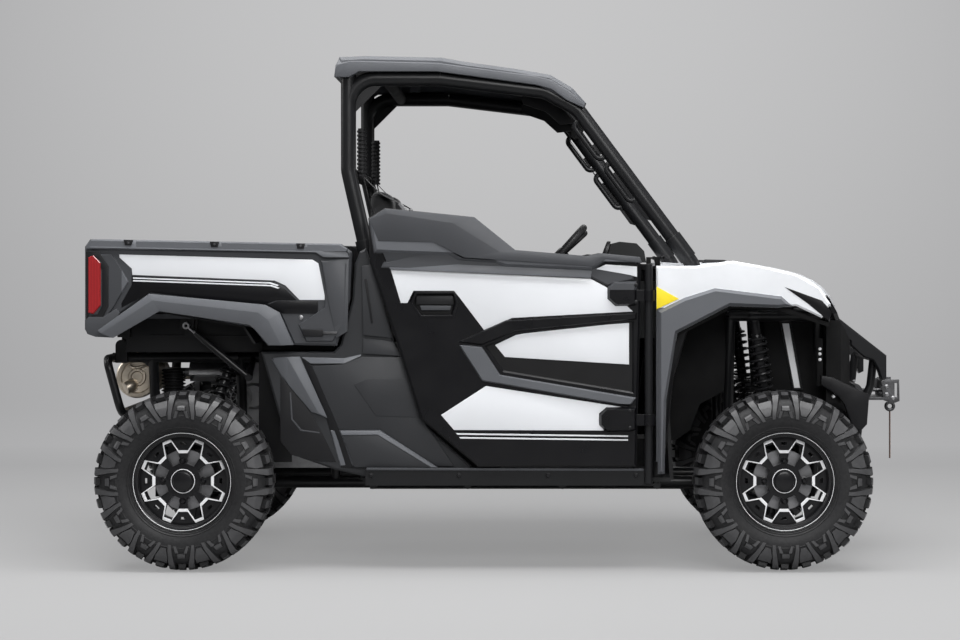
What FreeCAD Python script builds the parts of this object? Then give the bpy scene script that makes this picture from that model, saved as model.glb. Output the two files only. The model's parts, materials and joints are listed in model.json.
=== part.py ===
import FreeCAD, Part
import math
import os

os.makedirs("parts", exist_ok=True)
V = FreeCAD.Vector

# A side by side utility vehicle with two seats and a tipping cargo bed.
# +X points forward, +Y to the vehicle's left, +Z up, all in millimetres.
# The origin is on the ground under the middle of the bounding box.

# Driving sizes of the whole vehicle
wheelbase = 2349
front_axle_x = 1092
rear_axle_x = front_axle_x - wheelbase
wheel_track = 1326
tyre_radius = 352
tyre_width = 254
wheel_y = wheel_track / 2
axle_z = tyre_radius
overrun = 20
seat_gap = 0.3
mitre_share = 0.35
running_gap = 0.05
moving_gap = 6

# Wheels
tyre_sides = 30
lug_pitches = 18
lug_height = 20
bead_radius = 180
tread_edge_y = 92
lug_shoulder_radius = 334
wall_radius = 255
wall_y = 122
bead_y = 94
lug_length = 46
lug_foot_radius = 268
lug_reach_y = 12
rim_seat_radius = bead_radius * math.cos(math.pi / tyre_sides) - seat_gap
rim_wall = 9
rim_lip_radius = 194
rim_lip_width = 10
bead_wall_radius = rim_lip_radius + 2 * seat_gap
hub_gap = 1
rim_face_offset = 62
rim_face_thickness = 16
rim_windows = 8
window_inner_radius = 92
window_outer_radius = 150
window_inner_half = 11
window_outer_half = 23
star_inner_radius = 118
star_outer_radius = 163
star_ridge = 8
star_notch_share = 0.64
star_corner_share = 0.28
star_height = 5
hub_cap_radius = 46
hub_cap_height = 22
hub_radius = 44
lug_nut_circle = 79
lug_nut_radius = 9
lug_nut_height = 14
lug_nuts = 4
disc_radius = 118
disc_thickness = 6
disc_y = wheel_y - 26
spindle_radius = 20
spindle_end_y = 590

# Steering and front suspension
kingpin_y = 585
kingpin_half_height = 110
kingpin_radius = 10
arm_eye_radius = 20
arm_eye_height = 28
knuckle_radius = 46
knuckle_outer_y = 612
knuckle_inner_y = 556
knuckle_post_radius = 20
steer_arm_length = 110
steer_arm_width = 28
steer_arm_thickness = 16
rack_x = front_axle_x - steer_arm_length
rod_end_radius = 15
rod_end_height = 22
tie_rod_radius = 9
rack_housing_radius = 22
rack_housing_half = 215
arm_tube_radius = 14
arm_pivot_spread = 130
lower_arm_pivot_y = 255
lower_arm_pivot_z = 268
upper_arm_pivot_y = 252
upper_arm_pivot_z = 500
arm_bush_radius = 22
arm_bush_half = 26
shaft_radius = 14
boot_radius = 40
boot_length = 90
steer_room = 30
differential_radius = 78
differential_half = 105
drive_mount_half = 30

# Shock absorbers
front_shock_top_x = 1003
front_shock_foot_x = 1072
front_shock_foot_y = 446
rear_shock_top_x = -1100
rear_shock_foot_x = -1225
rear_shock_foot_y = 470
shock_body_radius = 21
shock_rod_radius = 9
spring_radius = 40
spring_wire_radius = 6
spring_turns = 9
shock_eye_radius = 24
shock_eye_half = 20
spring_low_share = 0.14
spring_high_share = 0.86

# Frame
rail_radius = 25
rail_y = 205
rail_z = 300
rail_front_x = 1330
rail_nose_x = 1440
rail_nose_z = 430
rail_rear_x = -1330
rail_tail_x = -1540
rail_tail_z = 440
frame_bend = 90
tower_top_z = 990
tower_top_y = 392
bed_rail_y = 330
bed_rail_z = 818
bed_rail_front_x = -640
bed_rail_rear_x = -1600
bed_post_front_x = -700
tube_radius = 20
knee_radius = tube_radius + 2
cross_bar_radius = 17
weld_depth = 6
tower_reach = arm_pivot_spread + arm_bush_half + knee_radius + seat_gap
tower_front_x = front_axle_x + tower_reach
pivot_plate_drop = 46
rack_z = rail_z + rail_radius + rack_housing_radius + seat_gap
steer_arm_top = rack_z + rod_end_height / 2 + moving_gap + steer_arm_thickness
nose_bar_half = 330
outrigger_count = 4
outrigger_radius = 15
outrigger_half = 640
outrigger_rear_x = -520
outrigger_front_x = 600
skid_thickness = 5
skid_hem = 30
skid_rear_x = -560
skid_front_x = 860
guard_tube_radius = 17
guard_y = 480
guard_low_z = 600
receiver_half = 32
receiver_bore_half = 25.7
receiver_length = 150
receiver_z = 470

# Floor, sills and door posts
floor_half_width = 655
floor_z = 342
floor_thickness = 16
floor_front_x = 655
floor_rear_x = -560
plinth_front_x = -20
plinth_top_z = 740
bulkhead_x = -575
bulkhead_thickness = 20
bulkhead_top_z = 1195
tunnel_half_width = 130
tunnel_height = 130
dash_front_x = 620
toe_top_x = dash_front_x + seat_gap
toe_top_z = 930
toe_thickness = 16
sill_outer_y = 728
sill_inner_y = floor_half_width
sill_low_z = 334
sill_high_z = 396
sill_rear_x = -545
sill_front_x = 560
hinge_x = 562
hinge_y = 735
hinge_post_radius = 16
hinge_post_low_z = sill_low_z + 10
hinge_post_high_z = 1200
post_bracket_height = 24
hinge_eye_radius = 24
hinge_eye_height = 44
hinge_low_share = 0.16
hinge_high_share = 0.64

# Doors
door_outer_y = 750
door_thickness = 50
door_rear_x = -532
door_front_x = 530
door_low_z = 408
door_high_z = 1419
door_edge = 9
door_skin = 12
door_rim = 42
door_outline_shares = [
    (0.0, 0.961), (0.06, 1.0), (0.389, 0.965), (0.539, 0.838), (0.8, 0.815), (0.846, 0.826),
    (1.0, 0.811), (1.0, 0.62), (0.985, 0.0), (0.404, 0.0), (0.192, 0.185), (0.115, 0.448),
    (0.005, 0.792),
]
bolster_depth = 22
bolster_draft = 15
bolster_shares = [
    (0.0, 0.955), (0.06, 0.994), (0.389, 0.96), (0.539, 0.833), (0.8, 0.81), (0.985, 0.806),
    (0.985, 0.785), (0.87, 0.79), (0.82, 0.755), (0.5, 0.77), (0.4, 0.81), (0.02, 0.825),
]
latch_recess_depth = 14
latch_recess_shares = [
    (0.153, 0.657), (0.171, 0.676), (0.307, 0.676), (0.326, 0.649), (0.307, 0.583),
    (0.194, 0.583), (0.153, 0.637),
]
latch_lever_shares = [(0.172, 0.661), (0.305, 0.661), (0.305, 0.631), (0.172, 0.631)]
middle_recess_depth = 7
middle_recess_shares = [
    (0.425, 0.467), (0.539, 0.517), (0.975, 0.566), (0.975, 0.283), (0.494, 0.367),
]
shoulder_depth = 7
shoulder_shares = [
    (0.045, 0.768), (0.054, 0.791), (0.237, 0.84), (0.347, 0.807), (0.829, 0.773),
    (0.975, 0.779), (0.975, 0.722), (0.877, 0.698), (0.817, 0.73),
]
jaw_depth = 10
upper_jaw_shares = [
    (0.33, 0.483), (0.506, 0.568), (0.985, 0.598), (0.985, 0.57), (0.539, 0.523), (0.417, 0.471),
]
lower_jaw_shares = [
    (0.33, 0.475), (0.417, 0.465), (0.484, 0.357), (0.985, 0.268), (0.96, 0.234), (0.417, 0.332),
]
hinge_cover_depth = 20
hinge_cover_shares = [
    [(0.877, 0.695), (0.902, 0.718), (0.985, 0.718), (0.985, 0.629), (0.97, 0.621),
     (0.906, 0.621), (0.877, 0.649)],
    [(0.847, 0.205), (0.873, 0.232), (0.985, 0.232), (0.985, 0.143), (0.96, 0.136),
     (0.873, 0.136), (0.847, 0.162)],
]
arm_rest_low_z = 930
arm_rest_high_z = 975

# Cargo bed
bed_rear_x = -1646
bed_floor_rear_x = -1590
bed_front_x = -600
bed_outer_y = 705
bed_wall = 48
bed_low_z = 879
bed_high_z = 1298
bed_floor_z = 985
bed_floor_thickness = 18
bed_side_shares = [
    (0.0, 0.206), (0.0, 0.93), (0.02, 1.0), (0.96, 0.953), (1.0, 0.879), (0.993, 0.43),
    (0.944, 0.0), (0.783, 0.009), (0.727, 0.318), (0.678, 0.383), (0.228, 0.477),
    (0.071, 0.178),
]
bed_flare_outer_y = 755
bed_flare_draft = 16
bed_flare_shares = [
    (0.078, 0.179), (0.235, 0.477), (0.683, 0.384), (0.731, 0.32), (0.787, 0.012),
    (0.683, 0.002), (0.627, 0.169), (0.276, 0.329), (0.1, 0.086),
]
bed_cap_depth = 14
bed_cap_shares = [
    (0.004, 0.9), (0.004, 0.935), (0.022, 0.995), (0.957, 0.952), (0.985, 0.91),
    (0.985, 0.878), (0.882, 0.868), (0.867, 0.885),
]
bed_post_depth = 8
bed_post_shares = [
    (0.9, 0.78), (0.985, 0.78), (0.975, 0.224), (0.93, 0.04), (0.83, 0.04), (0.8, 0.2),
    (0.897, 0.36),
]
bed_corner_shares = [
    (0.1, 0.86), (0.12, 0.8), (0.165, 0.6), (0.11, 0.36), (0.07, 0.22), (0.01, 0.22),
    (0.01, 0.86),
]
bed_edge = 8
cap_notch_width = 26
cap_notch_depth = 15
cap_notch_shares = [0.17, 0.49, 0.81]
floor_groove_width = 26
floor_groove_depth = 5
floor_groove_pitch = 118
floor_grooves = 10
bed_rail_cap_height = 26
tailgate_gap = 6
tailgate_thickness = 38
tailgate_low_z = 960
tailgate_high_z = 1262
tailgate_pin_z = 978
tailgate_border = 46
tailgate_field_depth = 8
tailgate_latch_half = 110
tailgate_slot_depth = 20
tailgate_pin_radius = 8
tailgate_pin_depth = 20
bed_pin_inset = 40
bed_pin_x = bed_rail_rear_x + bed_pin_inset
bed_pin_z = 868
bed_pin_radius = 12
bed_ear_radius = 24
bed_ear_thickness = 12
bed_beam_half = 25
bed_beam_low_z = 850
bed_beam_high_z = 905
bed_cross_members = 4
bed_beam_y = bed_rail_y
taillamp_thickness = 8
taillamp_shares = [
    (0.014, 0.31), (0.014, 0.83), (0.035, 0.85), (0.062, 0.78), (0.062, 0.38), (0.035, 0.3),
]
strut_foot_x = -1026
strut_foot_z = 745
strut_head_x = -1277
strut_head_z = 953
strut_y = 500
strut_bracket_radius = 12
strut_tube_radius = 14
strut_rod_radius = 6
strut_eye_radius = 14
strut_eye_half = 15
strut_pin_radius = 6
strut_tube_share = 0.86
strut_rod_start = 34

# Panels behind the doors
quarter_outer_y = door_outer_y - door_thickness - moving_gap
quarter_thickness = 34
quarter_edge = 8
quarter_strip_depth = 5
quarter_strip_shares = [
    (0.045, 0.5), (0.179, 0.5), (0.305, 0.245), (0.231, 0.277), (0.091, 0.428),
]
quarter_skirt_shares = [
    (0.314, 0.199), (0.506, 0.224), (0.561, 0.208), (0.78, 0.066), (0.78, 0.045), (0.36, 0.045),
]
quarter_rear_x = -956
quarter_front_x = -97
quarter_low_z = 365
quarter_high_z = 1290
quarter_shares = [
    (0.0, 0.53), (0.33, 0.53), (0.362, 0.56), (0.416, 0.75), (0.427, 0.9), (0.45, 0.955), (0.478, 0.97),
    (0.5, 0.907), (0.618, 0.534), (0.712, 0.246), (0.96, 0.045), (0.96, 0.0), (0.479, 0.0),
    (0.338, 0.03), (0.178, 0.081), (0.1, 0.199),
]

# Roll cage
cage_radius = 30
cage_y = 600
cage_bend = 110
b_pillar_x = -620
b_pillar_foot_x = -520
b_pillar_belt_x = -549
b_pillar_belt_z = 1256
roof_high_z = 2040
roof_rail_drop = 105
roof_rail_z = roof_high_z - roof_rail_drop
b_pillar_knee_share = 0.461
b_pillar_knee_z = b_pillar_belt_z + (roof_rail_z - b_pillar_belt_z) * b_pillar_knee_share
b_cross_x = -470
roof_rail_mid_x = -257
roof_rail_front_x = 159
roof_rail_front_drop = 155
roof_rail_front_z = roof_high_z - roof_rail_front_drop
a_pillar_top_x = 286
a_pillar_top_drop = 225
a_pillar_top_z = roof_high_z - a_pillar_top_drop
a_pillar_foot_x = 765
a_pillar_foot_z = 1170
a_pillar_knee_x = 640
a_pillar_knee_z = 760
screen_bar_share = 0.055
screen_bar_x = a_pillar_top_x + (a_pillar_foot_x - a_pillar_top_x) * screen_bar_share
screen_bar_z = a_pillar_top_z + (a_pillar_foot_z - a_pillar_top_z) * screen_bar_share
collar_radius = 35
collar_length = 86
rear_collar_low_z = 1210
front_collar_low_z = 1222
gusset_half = 5
gusset_reach = 130
belt_bar_share = 0.33
belt_bar_z = b_pillar_belt_z + (roof_rail_z - b_pillar_belt_z) * belt_bar_share
cross_tube_radius = 24
handle_radius = 11
handle_reach = 52
handle_shares = [(0.05, 0.27), (0.31, 0.53)]

# Roof
roof_half_width = 645
roof_rear_x = -674
roof_front_x = 322
roof_height = 206
roof_low_z = roof_high_z - roof_height
roof_skin = 16
roof_top_points = 9
roof_pad_half = 22
roof_pad_x = -430
roof_edge = 14
roof_centre_slope = 34
roof_side_shares = [
    (0.0, 0.515), (0.02, 0.89), (0.12, 0.91), (0.425, 0.88), (0.532, 0.79), (0.714, 0.67),
    (0.857, 0.55), (0.944, 0.3), (1.0, 0.0), (0.944, 0.03), (0.897, 0.149), (0.81, 0.347),
    (0.417, 0.62), (0.103, 0.62), (0.067, 0.505),
]
roof_centre_half_width = 430
roof_centre_shares = [
    (0.12, 0.8), (0.127, 1.0), (0.425, 0.93), (0.532, 0.81), (0.7, 0.66),
]

# Front body
fender_outer_y = 735
fender_inner_y = 520
fender_rear_x = 592
fender_front_x = 1274
fender_low_z = 427
fender_high_z = 1212
fender_top_shares = [
    (0.0, 0.975), (0.235, 0.975), (0.44, 1.0), (0.6, 0.975), (0.8, 0.935), (0.93, 0.871),
    (1.0, 0.786),
]
arch_shares = [
    (0.95, 0.716), (0.8, 0.776), (0.7, 0.776), (0.42, 0.786), (0.095, 0.647),
]
leg_shares = [(0.05, 0.308), (0.035, 0.0), (0.0, 0.0), (0.0, 0.313), (0.0, 0.72)]
fender_skin = 12
flare_outer_y = 762
flare_draft = 12
flare_shares = [
    (0.008, -0.06), (0.008, 0.752), (0.157, 0.817), (0.334, 0.866), (0.717, 0.825),
    (0.78, 0.776), (0.695, 0.767), (0.419, 0.776), (0.12, 0.642), (0.058, 0.31), (0.047, -0.06),
]
fender_edge = 7
hood_half_width = 508
hood_rear_x = 640
hood_front_x = 1290
hood_low_z = 1040
hood_high_z = 1236
hood_thickness = 24
hood_crown = 26
hood_nose_reach = 82
hood_stations = 9
hood_rise_share = 0.36
hood_top_shares = [
    (0.0, 0.9), (0.234, 0.93), (0.44, 0.97), (0.6, 0.85), (0.806, 0.62), (0.931, 0.36),
    (1.0, 0.0),
]
hood_barrel_radius = 8
hood_barrel_half = 22
hood_barrel_y = 320
hood_pin_x = 646
hood_pin_radius = 4
cowl_rear_x = 520
cowl_front_x = 634
cowl_low_z = 1130
cowl_high_z = 1205
dash_rear_x = 430
dash_low_z = 905
dash_high_z = 1205
dash_half_width = cage_y - cage_radius - seat_gap
pod_half_width = 135
pod_rear_x = 430
pod_front_x = 608
pod_high_z = 1296
pod_shares = [(0.0, 0.0), (0.153, 0.9), (0.357, 1.0), (0.765, 0.92), (0.949, 0.55), (1.0, 0.0)]
glove_near_y = 150
glove_far_y = 520
glove_border = 60
glove_depth = 10
console_half_width = 118
console_depth = 40
console_shares = [(1.0, 0.9), (1.0, 0.0), (0.0, 0.0), (0.44, 0.8)]
fascia_half_width = 455
fascia_rear_x = tower_front_x + knee_radius + seat_gap
fascia_front_x = 1400
fascia_low_z = 640
fascia_high_z = 992
fascia_sweep = 60
fascia_shares = [
    (0.0, 0.0), (0.58, 0.0), (1.0, 0.17), (1.0, 0.716), (0.534, 0.937), (0.0, 1.0),
]
grille_half_width = 230
grille_low_z = 740
grille_high_z = 900
grille_depth = 60
grille_slats = 5
slat_thickness = 10
headlamp_outer_y = 650
headlamp_inner_y = 524
headlamp_rear_x = 1112
headlamp_front_x = 1296
headlamp_low_z = 972
headlamp_high_z = 1106
headlamp_shares = [(0.0, 1.0), (0.75, 0.627), (1.0, 0.291), (0.913, 0.0), (0.56, 0.47)]
brow_rear_x = 1330
brow_front_x = 1555
brow_low_z = 724
brow_high_z = 1004
brow_shares = [
    (0.0, 1.0), (0.284, 0.818), (1.0, 0.368), (1.0, 0.032), (0.911, 0.0), (0.844, 0.164),
    (0.756, 0.293), (0.587, 0.343), (0.489, 0.407), (0.347, 0.514), (0.347, 0.571),
    (0.044, 0.779),
]
brow_inner_y = 290
brow_outer_y = 338
brow_edge = 6
brow_bar_x = 1524
brow_bar_z = 812
cheek_rear_x = 1402
cheek_front_x = 1488
cheek_low_z = 520
cheek_high_z = 722
cheek_shares = [
    (0.0, 1.0), (0.395, 0.891), (0.442, 0.723), (1.0, 0.485), (0.953, 0.252), (0.57, 0.0),
    (0.0, 0.139),
]
cheek_inner_y = 238
cheek_outer_y = 286
cheek_bar_x = 1452
cheek_bar_z = 552
guard_cross_x = 1468
guard_cross_z = 616
upright_y = 262
upright_shares = [(0.719, 0.593), (0.641, 0.372), (0.392, 0.186)]
guard_bar_radius = 16
headlamp_edge = 8
front_guard_radius = 17
winch_x = 1455
winch_z = 668
winch_drum_radius = 34
winch_half = 120
fairlead_front_x = 1600
fairlead_thickness = 14
fairlead_half_width = 110
fairlead_half_height = 40
fairlead_slot_half = 80
fairlead_slot_half_height = 16
hook_x = 1622
hook_radius = 23
hook_drop = 68
hook_wire_radius = 7
strap_width = 22
strap_thickness = 4
strap_length = 196

# Seats and belts
seat_y = 300
seat_half_width = 250
cushion_rear_x = -520
cushion_front_x = 0
cushion_low_z = plinth_top_z
cushion_high_z = 880
back_low_x = -530
back_thickness = 120
back_low_z = cushion_high_z + seat_gap
back_high_z = 1290
back_lean = 70
headrest_half_width = 135
headrest_high_z = 1500
belt_boot_radius = 20
belt_boot_top_share = 0.720
belt_boot_top_z = b_pillar_belt_z + (roof_rail_z - b_pillar_belt_z) * belt_boot_top_share
belt_boot_low_share = 0.433
belt_boot_low_z = b_pillar_belt_z + (roof_rail_z - b_pillar_belt_z) * belt_boot_low_share
belt_boot_y = 464
belt_ribs = 12
belt_rib_depth = 4
belt_width = 46
belt_thickness = 3
belt_low_x = -503

# Steering wheel
wheel_centre_x = 229
wheel_centre_y = 380
wheel_centre_z = 1232
steering_radius = 168
steering_grip_radius = 14
steering_lean = 48.4
steering_hub_radius = 42
spoke_turn = 90
column_radius = 17
column_length = 350

# Engine and exhaust
engine_front_x = -640
engine_half_width = 175
engine_low_z = 330
engine_high_z = 790
gearbox_half_width = 110
gearbox_half_height = 100
gearbox_half_length = 150
engine_rear_x = rear_axle_x + gearbox_half_length + seat_gap
muffler_x = -1512
muffler_z = 735
muffler_radius = 78
muffler_half_length = 265
pipe_radius = 22
clutch_cover_x = -800
clutch_cover_z = 560
clutch_cover_radius = 118
clutch_cover_thickness = 42
fan_cover_x = -1040
fan_cover_z = 653
fan_cover_radius = 55
fan_cover_thickness = 34
shield_rear_x = -1310
shield_low_z = 712
shield_inner_y = 42
intake_x = -1382
intake_y = -150
intake_low_z = 655
intake_high_z = 770
intake_radius = 40
intake_neck_radius = 30
intake_ribs = 6
muffler_cap = 22


def mirrored(shape):
    return shape.mirror(V(0, 0, 0), V(0, 1, 0))


def joined(shapes):
    """One solid from shapes that touch, without the seams between flush faces."""
    first = shapes[0]
    rest = list(shapes[1:])
    return first.fuse(rest).removeSplitter() if rest else first


def group(shapes):
    """Separate solids that share a node."""
    solids = []
    for shape in shapes:
        solids.extend(shape.Solids)
    return Part.makeCompound(solids)


def save(name, shape):
    shape.exportStep("parts/" + name + ".step")


def fitted(shares, low_x, high_x, low_z, high_z):
    """The points of a side outline, as shares of its own length and height."""
    length = high_x - low_x
    height = high_z - low_z
    return [(low_x + length * u, low_z + height * w) for u, w in shares]


def inset(points, amount):
    """The same outline with every side moved inwards by an amount."""
    nexts = points[1:] + points[:1]
    area = sum(u * far_w - far_u * w for (u, w), (far_u, far_w) in zip(points, nexts))
    turn = math.copysign(1, area)
    moved = []
    for before, here, after in zip(points[-1:] + points[:-1], points, nexts):
        into = V(here[0] - before[0], here[1] - before[1], 0).normalize()
        out = V(after[0] - here[0], after[1] - here[1], 0).normalize()
        first = V(-into.y, into.x, 0) * turn
        mitre = (first + V(-out.y, out.x, 0) * turn).normalize()
        reach = amount / max(mitre.dot(first), mitre_share)
        moved.append((here[0] + mitre.x * reach, here[1] + mitre.y * reach))
    return moved


def side_point(u, w, depth):
    return V(u, depth, w)


def front_point(u, w, depth):
    return V(depth, u, w)


def top_point(u, w, depth):
    return V(u, w, depth)


def pressed(points, foot, top, draft, place=side_point):
    """A raised form with drafted sides, from its foot outline to its smaller top."""
    rings = []
    for outline, depth in ((points, foot), (inset(points, draft), top)):
        ring = [place(u, w, depth) for u, w in outline]
        rings.append(Part.makePolygon(ring + ring[:1]))
    return Part.makeLoft(rings, True, True)


def moulded(points, back, face, edge, place=side_point):
    """A panel between two depths whose face has a chamfer all round."""
    foot = face + math.copysign(edge, back - face)
    ring = [place(u, w, back) for u, w in points]
    flat = Part.Face(Part.makePolygon(ring + ring[:1]))
    sheet = flat.extrude(place(0, 0, foot - back))
    return joined([sheet, pressed(points, foot, face, edge, place)])


def side_plate(points, first_y, last_y):
    ring = [V(x, first_y, z) for x, z in points]
    return Part.Face(Part.makePolygon(ring + ring[:1])).extrude(V(0, last_y - first_y, 0))


def front_plate(points, first_x, last_x):
    ring = [V(first_x, y, z) for y, z in points]
    return Part.Face(Part.makePolygon(ring + ring[:1])).extrude(V(last_x - first_x, 0, 0))


def top_plate(points, first_z, last_z):
    ring = [V(x, y, first_z) for x, y in points]
    return Part.Face(Part.makePolygon(ring + ring[:1])).extrude(V(0, 0, last_z - first_z))


def block(low_x, high_x, low_y, high_y, low_z, high_z):
    return Part.makeBox(high_x - low_x, high_y - low_y, high_z - low_z, V(low_x, low_y, low_z))


def rod(start, end, radius):
    return Part.makeCylinder(radius, (end - start).Length, start, end - start)


def sleeve(start, end, radius, bore_radius):
    return rod(start, end, radius).cut(rod(start, end, bore_radius))


def bent_path(points, bend):
    """Straight runs joined by tangent arcs as large as the runs and the bend allow."""
    edges = []
    start = points[0]
    for before, corner, after in zip(points, points[1:], points[2:]):
        into = (corner - before).normalize()
        out = (after - corner).normalize()
        half_turn = into.getAngle(out) / 2
        shorter = min((corner - before).Length, (after - corner).Length)
        reach = min(bend * math.tan(half_turn), shorter * 0.45)
        radius = reach / math.tan(half_turn)
        arc_start = corner - into * reach
        arc_end = corner + out * reach
        inward = (out - into).normalize()
        middle = corner + inward * (radius / math.cos(half_turn) - radius)
        edges.append(Part.LineSegment(start, arc_start).toShape())
        edges.append(Part.Arc(arc_start, middle, arc_end).toShape())
        start = arc_end
    edges.append(Part.LineSegment(start, points[-1]).toShape())
    return Part.Wire(edges)


def bent_tube(points, radius, bend):
    path = bent_path(points, bend)
    circle = Part.Circle(points[0], points[1] - points[0], radius).toShape()
    return path.makePipeShell([Part.Wire([circle])], True, False)


def tyre():
    """A carcass in flat facets, turned about Y, with lugs that reach over its shoulders."""
    profile = [
        (bead_radius, -bead_y),
        (bead_wall_radius, -bead_y),
        (wall_radius, -wall_y),
        (tyre_radius - lug_height, -tread_edge_y),
        (tyre_radius - lug_height, tread_edge_y),
        (wall_radius, wall_y),
        (bead_wall_radius, bead_y),
        (bead_radius, bead_y),
    ]
    step = 2 * math.pi / tyre_sides
    faces = []
    for side in range(tyre_sides):
        near = (side - 0.5) * step
        far = (side + 0.5) * step
        for here, there in zip(profile, profile[1:] + profile[:1]):
            corners = [(here, near), (here, far), (there, far), (there, near), (here, near)]
            ring = [V(r * math.cos(a), y, r * math.sin(a)) for (r, y), a in corners]
            faces.append(Part.Face(Part.makePolygon(ring)))
    carcass = Part.Solid(Part.makeShell(faces))
    return joined([carcass] + tyre_lugs())


def tyre_lugs():
    """A lug on each side in turn, from just past the middle over the shoulder and down."""
    floor_radius = tyre_radius - lug_height
    top = math.sqrt(tyre_radius ** 2 - (lug_length / 2) ** 2)
    section = [
        V(floor_radius - lug_height / 2, -lug_reach_y, 0),
        V(top, -lug_reach_y, 0),
        V(top, tread_edge_y + lug_height / 2, 0),
        V(lug_shoulder_radius, tyre_width / 2, 0),
        V(lug_foot_radius, tyre_width / 2, 0),
    ]
    section.append(V(lug_foot_radius, wall_y - lug_height, 0))
    lug = Part.Face(Part.makePolygon(section + section[:1])).extrude(V(0, 0, lug_length))
    lug.translate(V(0, 0, -lug_length / 2))
    lugs = []
    pitch = 360 / lug_pitches
    for place in range(lug_pitches):
        for shape, shift in ((lug, 0), (mirrored(lug), pitch / 2)):
            copy = shape.copy()
            copy.rotate(V(0, 0, 0), V(0, 1, 0), pitch * place + shift)
            lugs.append(copy)
    return lugs


def star_ring():
    """The raised zigzag ridge that runs round the eight windows of the face."""
    outer = []
    half_lobe = math.pi / rim_windows
    for place in range(rim_windows):
        middle = (place + 0.5) * 2 * half_lobe
        for radius, turn in (
                (star_inner_radius, -star_notch_share), (star_outer_radius, -star_corner_share),
                (star_outer_radius, star_corner_share), (star_inner_radius, star_notch_share)):
            angle = middle + turn * half_lobe
            outer.append((radius * math.cos(angle), radius * math.sin(angle)))
    top = -rim_face_offset - rim_face_thickness
    band = side_plate(outer, top + star_height, top - star_height)
    return band.cut(side_plate(inset(outer, star_ridge), top + overrun, top - overrun))


def rim():
    """Barrel, lips and a face with eight windows, its outer side towards -Y."""
    barrel_half = bead_y + seat_gap
    face_y = -rim_face_offset
    section = [
        V(rim_seat_radius - rim_wall, -barrel_half - rim_lip_width, 0),
        V(rim_lip_radius, -barrel_half - rim_lip_width, 0),
        V(rim_lip_radius, -barrel_half, 0),
        V(rim_seat_radius, -barrel_half, 0),
        V(rim_seat_radius, barrel_half, 0),
        V(rim_lip_radius, barrel_half, 0),
        V(rim_lip_radius, barrel_half + rim_lip_width, 0),
        V(rim_seat_radius - rim_wall, barrel_half + rim_lip_width, 0),
    ]
    barrel = Part.Face(Part.makePolygon(section + section[:1]))
    barrel = barrel.revolve(V(0, 0, 0), V(0, 1, 0), 360)
    face = Part.makeCylinder(
        rim_seat_radius - rim_wall / 2, rim_face_thickness, V(0, face_y, 0), V(0, -1, 0))
    window = side_plate([
        (window_inner_radius, -window_inner_half), (window_outer_radius, -window_outer_half),
        (window_outer_radius, window_outer_half), (window_inner_radius, window_inner_half)],
        face_y + overrun, face_y - rim_face_thickness - overrun)
    for place in range(rim_windows):
        opening = window.copy()
        opening.rotate(V(0, 0, 0), V(0, 1, 0), (place + 0.5) * 360 / rim_windows)
        face = face.cut(opening)
    cap = Part.makeCone(
        hub_cap_radius, hub_cap_radius * 0.8, hub_cap_height,
        V(0, face_y - rim_face_thickness, 0), V(0, -1, 0))
    nuts = []
    for place in range(lug_nuts):
        nut = Part.makeCylinder(
            lug_nut_radius, lug_nut_height,
            V(lug_nut_circle, face_y - rim_face_thickness, 0), V(0, -1, 0))
        nut.rotate(V(0, 0, 0), V(0, 1, 0), place * 360 / lug_nuts)
        nuts.append(nut)
    hub = Part.makeCylinder(
        hub_radius, wheel_y - knuckle_outer_y - hub_gap + rim_face_offset,
        V(0, face_y, 0), V(0, 1, 0))
    disc = Part.makeCylinder(
        disc_radius, disc_thickness, V(0, wheel_y - disc_y, 0), V(0, 1, 0))
    spindle = Part.makeCylinder(
        spindle_radius, wheel_y - spindle_end_y, V(0, 0, 0), V(0, 1, 0))
    return joined([barrel, face, cap, hub, disc, spindle, star_ring()] + nuts)


def wheels():
    tyre_shape = tyre()
    rim_shape = rim()
    for end, x in (("front", front_axle_x), ("rear", rear_axle_x)):
        for side, sign in (("right", -1), ("left", 1)):
            for name, shape in (("tyre", tyre_shape), ("rim", rim_shape)):
                piece = shape.copy() if sign < 0 else mirrored(shape)
                piece.translate(V(x, sign * wheel_y, axle_z))
                save(name + "_" + end + "_" + side, piece)


def knuckle(x, steered):
    """A bearing housing between two ball joint posts, on the right side."""
    low = axle_z - kingpin_half_height + arm_eye_height / 2 + seat_gap
    high = axle_z + kingpin_half_height - arm_eye_height / 2 - seat_gap
    housing = rod(V(x, -knuckle_outer_y, axle_z), V(x, -knuckle_inner_y, axle_z), knuckle_radius)
    post = rod(V(x, -kingpin_y, low), V(x, -kingpin_y, high), knuckle_post_radius)
    pin_low = low - arm_eye_height / 2
    pin_high = high + arm_eye_height / 2
    pin = rod(V(x, -kingpin_y, pin_low), V(x, -kingpin_y, pin_high), kingpin_radius)
    bodies = [housing, post, pin]
    if steered:
        half = steer_arm_width / 2
        bodies.append(block(
            x - steer_arm_length, x, -kingpin_y - half, -kingpin_y + half,
            steer_arm_top - steer_arm_thickness, steer_arm_top))
        bodies.append(rod(
            V(rack_x, -kingpin_y, steer_arm_top - steer_arm_thickness),
            V(rack_x, -kingpin_y, steer_arm_top), half * 1.2))
    solid = joined(bodies)
    bore = rod(
        V(x, -knuckle_outer_y - overrun, axle_z), V(x, -spindle_end_y + moving_gap, axle_z),
        spindle_radius + running_gap)
    return solid.cut(bore)


def arm_eye(x, y, z):
    return sleeve(
        V(x, y, z - arm_eye_height / 2), V(x, y, z + arm_eye_height / 2),
        arm_eye_radius, kingpin_radius + running_gap)


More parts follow.
